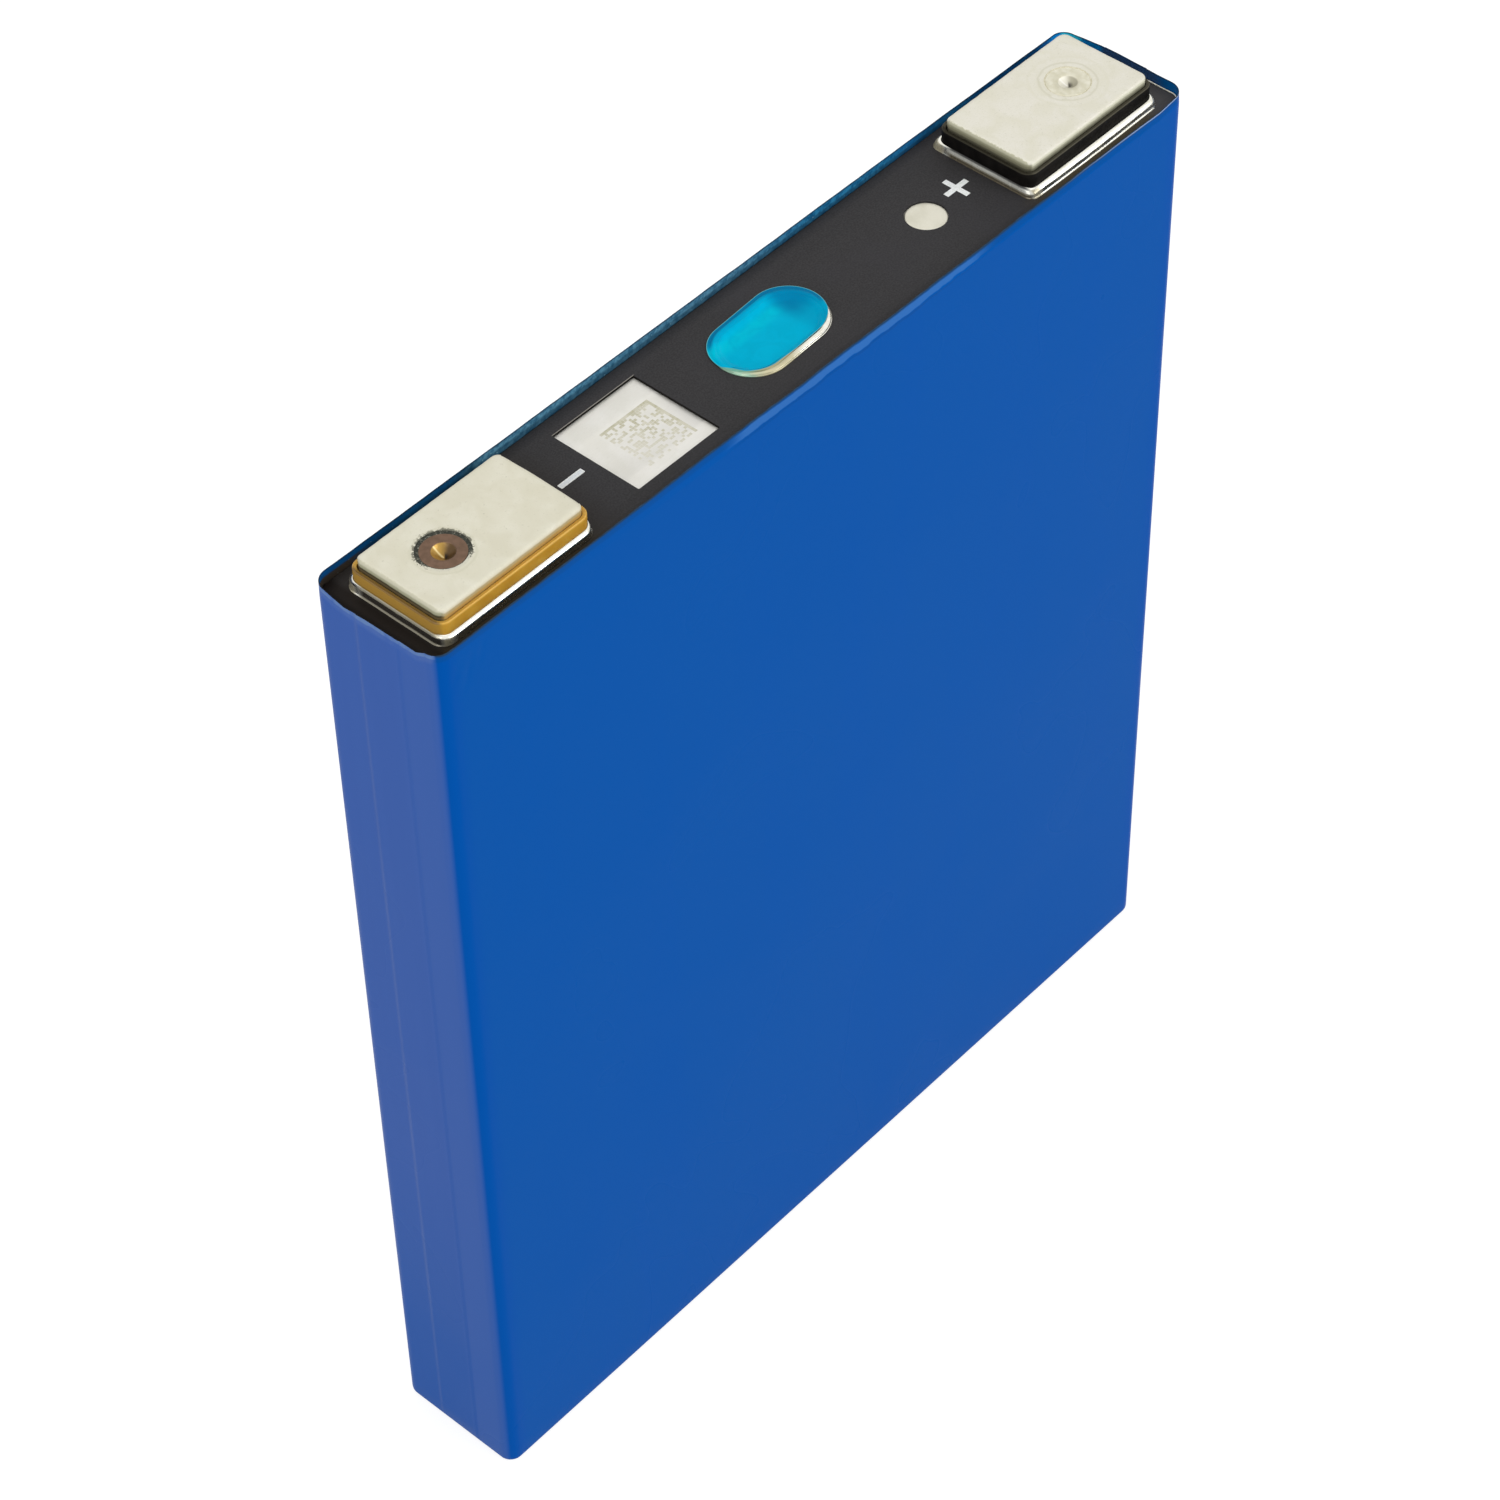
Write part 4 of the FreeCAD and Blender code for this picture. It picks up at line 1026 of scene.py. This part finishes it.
def make_collar(side, floor, level, seed):
    """Collar pressed up from the lid: its flanks differ along X and Y and are a little uneven."""
    plan = COLLARS[side]
    size, middle = collar_plan(side)
    tray_size, tray_at = footprint(side + "_upper_insulator")[:2]
    shift = np.subtract(middle, tray_at)
    columns = []
    for spot, direction in zip(*outline(size, plan["corner"], 0.5, 12)):
        share = direction[0] ** 2
        section = (np.array(plan["ends"]) * share + np.array(plan["sides"]) * (1 - share)).tolist()
        first, last, below = section[0][0], section[-1][0], floor - level
        section += [(last, 0.004), (-0.05, 0.004), (-0.05, below), (first, below)]
        tray = nearest_on(tray_size, TRAY_CORNER, spot + shift) + direction * 0.02 - shift
        bow = plan["bow"] * (1 - share) * (1 - (2 * spot[0] / size[0]) ** 2)
        column = []
        for outward, height in section:
            swell = (bow + 0.02 * ripple((*spot, 0), 3.0, seed)) * min(1.0, 1.0 + outward)
            away = (tray - spot) * -outward if outward < 0 else direction * outward
            if height > 0.1:
                height -= 0.02 * (0.5 + 0.5 * ripple((*spot, 0), 4.0, seed + 1))
            column.append((*(spot + away + direction * swell + middle), level + height))
        columns.append(column)
    rows = np.swapaxes(columns, 0, 1)
    make_piece(side + "_collar", rows, [pressed_aluminium(side)], ["lid_plate"], sharp=50)


def make_ridge(floor, level):
    """Ridge pressed up round the vent, with a round crown and a flared foot."""
    foot, rise, half = 0.12, 0.24, 0.36  # heights of the foot and the crown, and half its width
    section = [(0.1, 0.02), (0.04, 0.05), (0.0, foot)]
    for step in range(6):
        angle = math.pi * step / 10
        section.append((half * (math.cos(angle) - 1), foot + rise * math.sin(angle)))
    # Under the cover it slopes down into the opening
    section += [(-0.9, 0.08), (-1.15, 0.0), (-1.35, -0.12), (-1.55, -0.26)]
    section += [(-1.55, floor - level), (0.1, floor - level)]
    places, directions = outline(RIDGE_SIZE, RIDGE_CORNER, 0.5, 12)
    rows = []
    for outward, height in section:
        row = raised(turned(places + directions * outward, VENT_TURN) + VENT_AT, level + height)
        if height > 0:
            row[:, 2] += [0.015 * ripple(point, 3.0, 9) for point in row]
        rows.append(row)
    make_piece("vent_ridge", rows, [ridge_aluminium()], ["lid_plate"], sharp=50)


def make_rim(size, floor, low, high):
    """Rim of the can's wall beside the label, with the frozen ripple of its laser seam."""
    metal = weld_metal("aluminium_laser_seam", "#f0eee4", "#cfccbf", 0.3, 1.0)
    # Its section, as (outward, share of the height)
    section = [(0.0, 0.0), (0.0, 0.8), (-0.04, 0.95), (-0.1, 1.0),
               (-0.18, 1.0), (-0.24, 0.94), (-0.27, 0.8), (-0.27, 0.0)]
    columns = []
    for spot, direction in zip(*outline(size, 2.0, 0.4, 14)):
        # It comes up above the lid towards +X: slowly at the front, and only near the corner behind
        shown = share_of(spot[0], *((25, 55) if spot[1] < 0 else (66, 70)))
        rise = (high - low) * shown + 0.1 * share_of(spot[0], 68, 71) + 0.02 * ripple((*spot, 0), 0.6, 12)
        tall = low + rise - floor
        columns.append([(*(spot + direction * outward), floor + tall * share) for outward, share in section])
    make_piece("can_rim", np.swapaxes(columns, 0, 1), [metal], ["lid_plate"], sharp=50)


class CELL_OT_lid(bpy.types.Operator):
    """Build the aluminium lid: its sheet, the pressed beads and the laser seam round it"""

    bl_idname = "cell.lid"
    bl_label = "Lid"

    def execute(self, context):
        metal = rolled_aluminium("aluminium_lid_rolled", "#dedcd6", "#d7d5cd", (0.15, 1, 1), 0.008, 0.7)
        size, _, bottom, _ = footprint("lid_plate")
        label_low, label_top = (corner[2] for corner in place("top_label"))
        holes = [ring_points(size, 1.45, (0, 0)), stadium_points(VENT_OPENING)]
        holes += [circle_points(POST_HOLE, footprint(side + "_rivet")[1]) for side in SIDES]
        disc_size, disc_at = footprint("fill_seal_disc")[:2]
        holes.append(circle_points(disc_size[0] / 2 + 0.04, disc_at))
        cut_sheet("lid_sheet", holes, bottom, label_low, 0.04, metal, "lid_plate")
        floor = label_low - 0.1
        for number, side in enumerate(SIDES):
            make_collar(side, floor, label_top, 5 + 2 * number)
        make_ridge(floor, label_top)
        make_rim(np.subtract(footprint("can")[0], 0.02), floor, label_low + 0.06, label_top + 0.02)
        return {"FINISHED"}


class CELL_OT_label(bpy.types.Operator):
    """Cut the charcoal label with its windows and print the two polarity marks"""

    bl_idname = "cell.label"
    bl_label = "Label and marks"

    def execute(self, context):
        settings = context.scene.cell_top
        size, middle, bottom, top = footprint("top_label")
        # The sheet reaches a little further towards +Y than its solid
        extra = 0.25
        holes = [ring_points((size[0], size[1] + extra), 1.6, (middle[0], middle[1] + extra / 2))]
        holes.append(ring_points(CODE_WINDOW, 0.15, CODE_WINDOW_AT))
        for side in SIDES:
            window, window_at = collar_plan(side, 0.01)
            holes.append(ring_points(window, COLLARS[side]["corner"] + 0.04, window_at))
        holes.append(turned(stadium_points(np.add(RIDGE_SIZE, 0.33)), VENT_TURN) + VENT_AT)
        disc_size, disc_at = footprint("fill_seal_disc")[:2]
        holes.append(circle_points(disc_size[0] / 2 + 0.07, disc_at))
        cut_sheet("label", holes, bottom, top, 0.06, label_sheet(settings), "top_label")
        ink = screen_ink("screen_ink_white", settings.ink, "#dadfda")
        grey = screen_ink("screen_ink_grey", "#dce1e5", "#d2d7db")
        size, middle, bottom, top = footprint("plus_mark")
        arm, bar = size[0] / 2, 0.435
        quadrant = [(bar, -arm), (bar, -bar), (arm, -bar)]
        cross = np.concatenate([turned(quadrant, math.pi / 2 * turn) for turn in range(4)]) + middle
        cut_sheet("plus", [cross], bottom, top, 0.012, ink, "plus_mark")
        size, middle, bottom, top = footprint("minus_mark")
        inside = np.subtract(size, 0.38)
        border = [ring_points(size, 0.1, middle), ring_points(inside, 0.05, middle)]
        cut_sheet("minus_border", border, bottom, top, 0.01, ink, "minus_mark")
        fill = [ring_points(inside - 0.01, 0.05, middle)]
        cut_sheet("minus_fill", fill, bottom, top - 0.006, 0.004, grey, "minus_mark")
        return {"FINISHED"}


class CELL_OT_code(bpy.types.Operator):
    """Etch the code field: random squares inside a plain corner, which hold no data"""

    bl_idname = "cell.code"
    bl_label = "Code field"

    def execute(self, context):
        count = context.scene.cell_top.modules
        draw = random.Random(31)
        bottom = place("top_label")[0][2]
        cell = CODE_SPAN / count
        points, faces = [], []
        taken = set()
        for row in range(count):
            for column in range(count):
                solid = column == count - 1 or row == count - 1
                faint = (count - column) + (count - row) > 1.65 * count
                if solid or draw.random() < (0.2 if faint else 0.46):
                    taken.add((column, row, 0.0 if solid else 0.025))
        for column, row, slim in sorted(taken):
            start = len(points)
            spot = np.add(CODE_AT, (column * cell, row * cell))
            for height, inset in ((-0.02, slim), (0.008, slim), (0.014, slim + 0.03)):
                far = cell - inset
                square = spot + [(inset, inset), (far, inset), (far, far), (inset, far)]
                points += raised(square, bottom + height).tolist()
            for level in (start, start + 4):
                for corner in range(4):
                    after = (corner + 1) % 4
                    faces.append((level + corner, level + after, level + 4 + after, level + 4 + corner))
            faces.append((start + 3, start + 2, start + 1, start))
            faces.append((start + 8, start + 9, start + 10, start + 11))
        mesh = bpy.data.meshes.new("code_field")
        mesh.from_pydata((np.array(points) * MM).tolist(), [], faces)
        add_piece("code_field", mesh, [etched_aluminium()])
        return {"FINISHED"}


def cover_height(spot, floor):
    """Height of the vent's cover: over the ridge's crown, or dished into the opening."""
    x, y = turned([np.subtract(spot, VENT_AT)], -VENT_TURN)[0]
    # Half the length of the crown's straight part, the radius of its inner edge, and its width
    core, radius, width = 3.78, 4.8, 0.78
    shoulder = floor + 0.48
    over = math.hypot(x - min(core, max(-core, x)), y) - radius
    if over > 0:
        across = min(1.0, over / width)
        crown = 0.22 * math.sqrt(max(0.0, 1 - (2 * across - 1) ** 2))
        return shoulder + crown - 0.12 * max(0.0, over - width)
    fall = share_of(-over, 0.2, 1.05)
    fall = fall * fall * (3 - 2 * fall)
    crumple = 0.05 * ripple((*spot, 0), 2.4, 21) + 0.03 * ripple((spot[0] * 0.5, spot[1] * 1.6, 0), 1.1, 22)
    return shoulder - 0.42 * fall + crumple * min(1.0, fall + 0.1)


class CELL_OT_vent(bpy.types.Operator):
    """Lay the teal film over the vent, dished into its opening, and set the filling disc"""

    bl_idname = "cell.vent"
    bl_label = "Vent cover and filling disc"

    def execute(self, context):
        size, middle, floor, top = footprint("vent_film")
        # The film is stuck on a little askew, so it is smaller than the box that holds it
        radius = (size[1] - (size[0] - size[1]) * math.sin(COVER_TURN)) / 2
        spine = size[0] / 2 - radius
        ring = outline((size[0] - 0.02, 2 * radius), radius - 1e-3, 0.35, 28)[0]
        core = np.column_stack([np.clip(ring[:, 0], -spine, spine), np.zeros(len(ring))])
        # Rows from the middle out to the edge, closest together where the film crosses the ridge
        shares = [0.0, 0.12, 0.26, 0.38, 0.48, 0.56, 0.62, 0.66]
        shares += [0.69 + 0.02 * step for step in range(8)]
        shares += [0.85 + 0.015 * step for step in range(10)] + [0.995, 1.0]
        rows = []
        for share in shares:
            spots = turned(core + (ring - core) * share, COVER_TURN) + middle
            rows.append([(*spot, min(max(cover_height(spot, floor), floor), top)) for spot in spots])
        rows = np.array(rows)
        inward = [radius * (1 - share) for share in shares + shares[::-1] for _ in ring]
        make_piece(
            "vent_cover", np.concatenate([rows, rows[::-1] - (0, 0, 0.05)]),
            [vent_polyester(context.scene.cell_top)], ["vent_film"], sharp=60, ends="shrunk",
            values={"from_edge": inward},
        )
        disc_size, disc_at, disc_low, disc_top = footprint("fill_seal_disc")
        edge = disc_size[0] / 2
        section = [(0, disc_low), (edge, disc_low), (edge, disc_top - 0.16), (edge - 0.03, disc_top - 0.08),
                   (edge - 0.1, disc_top - 0.03), (edge - 0.22, disc_top - 0.01)]
        section += [(edge * share, disc_top - 0.012 * share) for share in (0.8, 0.6, 0.4, 0.2, 0)]
        rows = lathe(section, disc_at)
        for point in rows.reshape(-1, 3):
            if point[2] > disc_top - 0.1:
                point[2] -= 0.012 * (0.5 + 0.5 * ripple(point, 0.7, 25))
        grainy = rolled_aluminium("aluminium_disc_stamped", "#d9d6c8", "#cbc8b8", (1, 1, 1), 0.02)
        make_piece("fill_disc", rows, [grainy], ["fill_seal_disc"], ends="shrunk")
        return {"FINISHED"}


# ---- Terminals ----


class CELL_OT_trays(bpy.types.Operator):
    """Mould the amber and black trays that carry the contact plates"""

    bl_idname = "cell.trays"
    bl_label = "Terminal trays"

    def execute(self, context):
        settings = context.scene.cell_terminals
        materials = {"neg": polyetherimide(settings), "pos": phenylene_sulfide(settings)}
        for side in SIDES:
            size, middle, bottom, top = footprint(side + "_upper_insulator")
            plate_size, _, plate_low, _ = footprint(side + "_terminal_plate")
            wall = (size[0] - plate_size[0]) / 2
            seat = plate_low - 0.02
            # The wall's outside and brim, then its inside, as (outward, height)
            profile = [
                (-0.05, bottom), (0, bottom + 0.05), (0, (bottom + top) / 2), (0, top - 0.22),
                (-0.02, top - 0.12), (-0.07, top - 0.04), (-0.13, top), (-0.19, top - 0.03),
                (-0.25, top - 0.06), (0.06 - wall, top - 0.08), (0.02 - wall, top - 0.11),
                (0.01 - wall, top - 0.2), (0.01 - wall, seat),
            ]
            hole = 2.6
            section = [(0, hole, 0, bottom), (0.5, hole, 0, bottom)]
            section += [(1, 0, outward, height) for outward, height in profile]
            section += [(0.5, hole, -wall, seat), (0, hole, 0, seat)]
            rows = holed_slab(size, TRAY_CORNER, middle, footprint(side + "_rivet")[1], section)[0]
            make_piece(side + "_tray", rows, [materials[side]], [side + "_upper_insulator"])
        return {"FINISHED"}


class CELL_OT_plates(bpy.types.Operator):
    """Stamp the two contact plates, with sheared edges and the groove round each post"""

    bl_idname = "cell.plates"
    bl_label = "Contact plates"

    def execute(self, context):
        settings = context.scene.cell_terminals
        radius = settings.edge / MM
        for number, side in enumerate(SIDES):
            size, middle, bottom, top = footprint(side + "_terminal_plate")
            weld = footprint(side + "_weld_bead")[0][0] / 2
            face = top - 0.03
            # The hole and the groove round the post, as (radius, height)
            hole, groove = 2.52, 3.2
            bore = [
                (hole, bottom), (hole, top - 1.0), (groove, top - 1.0), (groove, top - 0.25),
                (weld - 0.14, top - 0.25), (weld - 0.12, face - 0.006), (weld + 0.1, face),
                (weld + 0.3, face + 0.01), (weld + 0.55, face),
            ]
            section = [(0, around, 0, height) for around, height in bore]
            for share in (0.08, 0.16, 0.26, 0.36, 0.46, 0.56, 0.66, 0.76, 0.85, 0.93, 1.0):
                section.append((share, weld + 0.55, -radius - 0.25, face))
            for turn in range(1, 7):
                angle = math.pi / 2 * turn / 6
                section.append((1, 0, radius * (math.sin(angle) - 1), face + radius * (math.cos(angle) - 1)))
            # Down the sheared edge and in under the plate, as (outward, height)
            edge = [
                (0.0, face - 0.7), (-0.01, face - 1.5), (-0.06, face - 1.58), (-0.02, face - 1.66),
                (-0.01, bottom + 0.3), (-0.04, bottom + 0.1), (-0.12, bottom + 0.02), (-0.25, bottom),
            ]
            section += [(1, 0, outward, height) for outward, height in edge]
            section.append((0.5, hole, -0.25, bottom))
            rows, directions = holed_slab(size, 1.3, middle, footprint(side + "_rivet")[1], section)
            for (share, _, outward, height), row in zip(section, rows):
                for point, direction in zip(row, directions):
                    if share == 1 and outward > -radius - 0.2:
                        inward = 0.04 - 0.03 * ripple((*point[:2], 0), 1.3, 31 + number)
                        inward -= 0.02 * ripple(point, 0.6, 33 + number)
                        if direction[0] < -0.5:
                            inward += 0.14
                        if side == "neg" and direction[0] > 0.9:
                            inward += 0.2 * (point[1] / (size[1] / 2)) ** 2
                        point[:2] -= direction * inward
                    if height >= face - 1e-6 and share > 0:
                        point[2] = min(point[2] + 0.005 * ripple((*point[:2], 0), 5.0, 35 + number), top)
            metal = plate_aluminium(side, settings)
            node = side + "_terminal_plate"
            make_piece(side + "_plate", rows, [metal], [node], sharp=40)
        return {"FINISHED"}


def make_weld(side, seed, material):
    """Bead of melted metal in the groove round a post, as rough as its soot is thick."""
    at = footprint(side + "_rivet")[1]
    size, _, low, top = footprint(side + "_weld_bead")
    outer, inner = size[0] / 2, 3.1
    rough = 0.09 if side == "neg" else 0.02
    columns = []
    for spoke in circle_points(1.0, (0, 0), 160):
        spot = (*(spoke * outer), 0)
        wide = outer + 1.6 * rough * ripple(spot, 0.7, seed)
        slim = inner + 0.5 * rough * ripple(spot, 0.9, seed + 2)
        crown = min(top - rough * (0.35 + 0.5 * ripple(spot, 0.5, seed + 4)), top)
        section = [
            (slim, low), (wide, low), (wide, top - 0.1), (wide - 0.12, crown - 0.02),
            ((wide + slim) / 2, crown), (slim + 0.12, crown - 0.02), (slim, top - 0.08),
        ]
        columns.append([(*(spoke * radius + at), height) for radius, height in section])
    make_piece(side + "_weld", np.swapaxes(columns, 0, 1), [material], [side + "_weld_bead"], sharp=60)


class CELL_OT_posts(bpy.types.Operator):
    """Turn the two terminal posts and melt the weld that joins each to its plate"""

    bl_idname = "cell.posts"
    bl_label = "Posts and welds"

    def execute(self, context):
        posts = {"neg": copper_head(), "pos": aluminium_head()}
        welds = {"neg": sooty_weld(), "pos": weld_metal("weld_bright", "#dad6c2", "#c6c0a4", 0.5, 0.85)}
        for number, side in enumerate(SIDES):
            size, at, bottom, top = footprint(side + "_rivet")
            flange, head = size[0] / 2, top - 1.0
            flange_low = place(side + "_collector")[1][2]
            flange_top = place(side + "_lower_insulator")[1][2] - 0.8
            boss, neck, rim = 3.0, 2.5, 3.15
            section = [
                (0, bottom), (boss, bottom), (boss, flange_low), (flange, flange_low),
                (flange, flange_top), (neck, flange_top), (neck, head), (rim, head),
                (rim, top - 0.1), (rim - 0.05, top - 0.03), (rim - 0.15, top),
            ]
            # Marks of the turning tool across the head, then the dimple
            section += [(2.95 - step * 0.09, top - 0.008 - 0.008 * (step % 2)) for step in range(12)]
            wide, deep = DIMPLE_SCALES[side]
            section += [(radius * wide, top - depth * deep) for radius, depth in DIMPLE]
            make_piece(
                side + "_post", lathe(section, at), [posts[side]], [side + "_rivet"],
                sharp=30, ends="shrunk",
            )
            make_weld(side, 41 + number, welds[side])
        return {"FINISHED"}


class CELL_OT_inside(bpy.types.Operator):
    """Give every piece inside the can the finish of its real material"""

    bl_idname = "cell.inside"
    bl_label = "Finishes inside"

    def execute(self, context):
        for name, (light, dark, blob, roughness, metallic, depth, nodes) in INNER_FINISHES.items():
            material = two_tone(name, light, dark, blob, depth, Roughness=roughness, Metallic=metallic)
            for node in nodes:
                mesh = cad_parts[node].data
                mesh.materials.clear()
                mesh.materials.append(material)
        return {"FINISHED"}


# ---- Studio ----

CAMERA_AT = (-0.335746, -0.304202, 0.565918)
CAMERA_TURN = (-47.294, 46.474, -1.301)  # azimuth, elevation and roll in degrees
FLOOR_REACH = 4.0
# Each lamp's place, what it points at, and its size and power
LAMPS = {
    "overhead": ((0.1, 0.2, 1.3), (0, 0, 0.1), 1.2, 2.0),
    "left": ((-1.2, -0.3, 0.7), (0, 0, 0.08), 0.9, 7.0),
    "front": ((0.5, -1.3, 0.6), (0, 0, 0.08), 0.9, 10.5),
}


def camera_matrix():
    """The camera looks back along the direction given by its azimuth and elevation, then rolls."""
    azimuth, elevation, roll = (math.radians(v) for v in CAMERA_TURN)
    level = math.cos(elevation)
    back = Vector((math.sin(azimuth) * level, -math.cos(azimuth) * level, math.sin(elevation)))
    right = Vector((0, 0, 1)).cross(back).normalized()
    up = back.cross(right)
    across = right * math.cos(roll) + up * math.sin(roll)
    upward = up * math.cos(roll) - right * math.sin(roll)
    matrix = Matrix((across, upward, back)).transposed().to_4x4()
    matrix.translation = CAMERA_AT
    return matrix


def seen_rays(tree):
    """1 for what the camera, a mirror or glass sees, and 0 for the light that falls on things."""
    path = add_node(tree, "LightPath", out=None).outputs
    seen = path["Is Camera Ray"]
    for kind in ("Is Glossy Ray", "Is Transmission Ray"):
        seen = add_node(tree, "Math", {0: seen, 1: path[kind]}, operation="MAXIMUM")
    return seen


class CELL_OT_studio(bpy.types.Operator):
    """Set up the pale floor, the soft lamps, the even surround and the camera"""

    bl_idname = "cell.studio"
    bl_label = "Studio"

    def execute(self, context):
        scene = context.scene
        settings = scene.cell_studio
        mesh = bpy.data.meshes.new("floor")
        mesh.from_pydata([(x * FLOOR_REACH, y * FLOOR_REACH, 0) for x, y in CORNERS], [], [(0, 1, 2, 3)])
        floor = bpy.data.objects.new("floor", mesh)
        scene.collection.objects.link(floor)
        # Dull paint that also glows faintly to the eye, so that it stays pale to the horizon
        material = bpy.data.materials.new("painted_floor_pale")
        material.use_nodes = True
        tree = material.node_tree
        tree.nodes.clear()
        matte = add_node(tree, "BsdfDiffuse", {"Color": (0.36, 0.36, 0.36, 1)})
        strength = add_node(tree, "Math", {0: seen_rays(tree), 1: 0.9}, operation="MULTIPLY")
        glow = add_node(tree, "Emission", {"Color": paint(settings.floor), "Strength": strength})
        both = add_node(tree, "AddShader", {0: matte, 1: glow})
        add_node(tree, "OutputMaterial", {"Surface": both}, out=None, is_active_output=True)
        mesh.materials.append(material)

        scene.world = bpy.data.worlds.new("room")
        scene.world.use_nodes = True
        tree = scene.world.node_tree
        tree.nodes.clear()
        inputs = {"Value": seen_rays(tree), "To Min": settings.strength, "To Max": 1.0}
        surround = add_node(
            tree, "Background", {"Color": (1, 1, 1, 1), "Strength": add_node(tree, "MapRange", inputs)}
        )
        add_node(tree, "OutputWorld", {"Surface": surround}, out=None, is_active_output=True)

        for name, (at, aim, size, power) in LAMPS.items():
            light = bpy.data.lights.new(name, "AREA")
            light.shape = "SQUARE"
            light.size = size
            light.energy = power
            lamp = bpy.data.objects.new(name, light)
            lamp.location = at
            lamp.rotation_euler = (Vector(at) - Vector(aim)).to_track_quat("Z", "Y").to_euler()
            scene.collection.objects.link(lamp)

        view = bpy.data.cameras.new("camera")
        view.lens = settings.focal
        view.sensor_width = 36.0
        camera = bpy.data.objects.new("camera", view)
        camera.matrix_world = camera_matrix()
        scene.collection.objects.link(camera)
        scene.camera = camera
        scene.view_settings.view_transform = "Standard"
        return {"FINISHED"}


class CELL_PT_panel(bpy.types.Panel):
    """Sidebar panel with the cell's settings and builders"""

    bl_idname = "CELL_PT_panel"
    bl_label = "Battery cell"
    bl_space_type = "VIEW_3D"
    bl_region_type = "UI"
    bl_category = "Battery cell"

    def draw(self, context):
        layout = self.layout
        scene = context.scene
        for owner in (scene.cell_wrap, scene.cell_terminals, scene.cell_top, scene.cell_studio):
            box = layout.box()
            for name in owner.__annotations__:
                box.prop(owner, name)
        for operator in OPERATORS:
            layout.operator(operator.bl_idname)


SETTINGS = {
    "cell_wrap": WrapSettings,
    "cell_terminals": TerminalSettings,
    "cell_top": TopSettings,
    "cell_studio": StudioSettings,
}
OPERATORS = (
    CELL_OT_studio,
    CELL_OT_wrap,
    CELL_OT_lid,
    CELL_OT_label,
    CELL_OT_code,
    CELL_OT_vent,
    CELL_OT_trays,
    CELL_OT_plates,
    CELL_OT_posts,
    CELL_OT_inside,
)


def register():
    """Add the cell's settings, operators and panel."""
    for kind in (*SETTINGS.values(), *OPERATORS, CELL_PT_panel):
        bpy.utils.register_class(kind)
    for name, kind in SETTINGS.items():
        setattr(bpy.types.Scene, name, PointerProperty(type=kind))


def unregister():
    """Take them out again."""
    for name in SETTINGS:
        delattr(bpy.types.Scene, name)
    for kind in reversed((*SETTINGS.values(), *OPERATORS, CELL_PT_panel)):
        bpy.utils.unregister_class(kind)


def main():
    """Register the cell's settings and build every piece."""
    register()
    for operator in OPERATORS:
        group, name = operator.bl_idname.split(".")
        getattr(getattr(bpy.ops, group), name)()


if __name__ == "__main__":
    main()
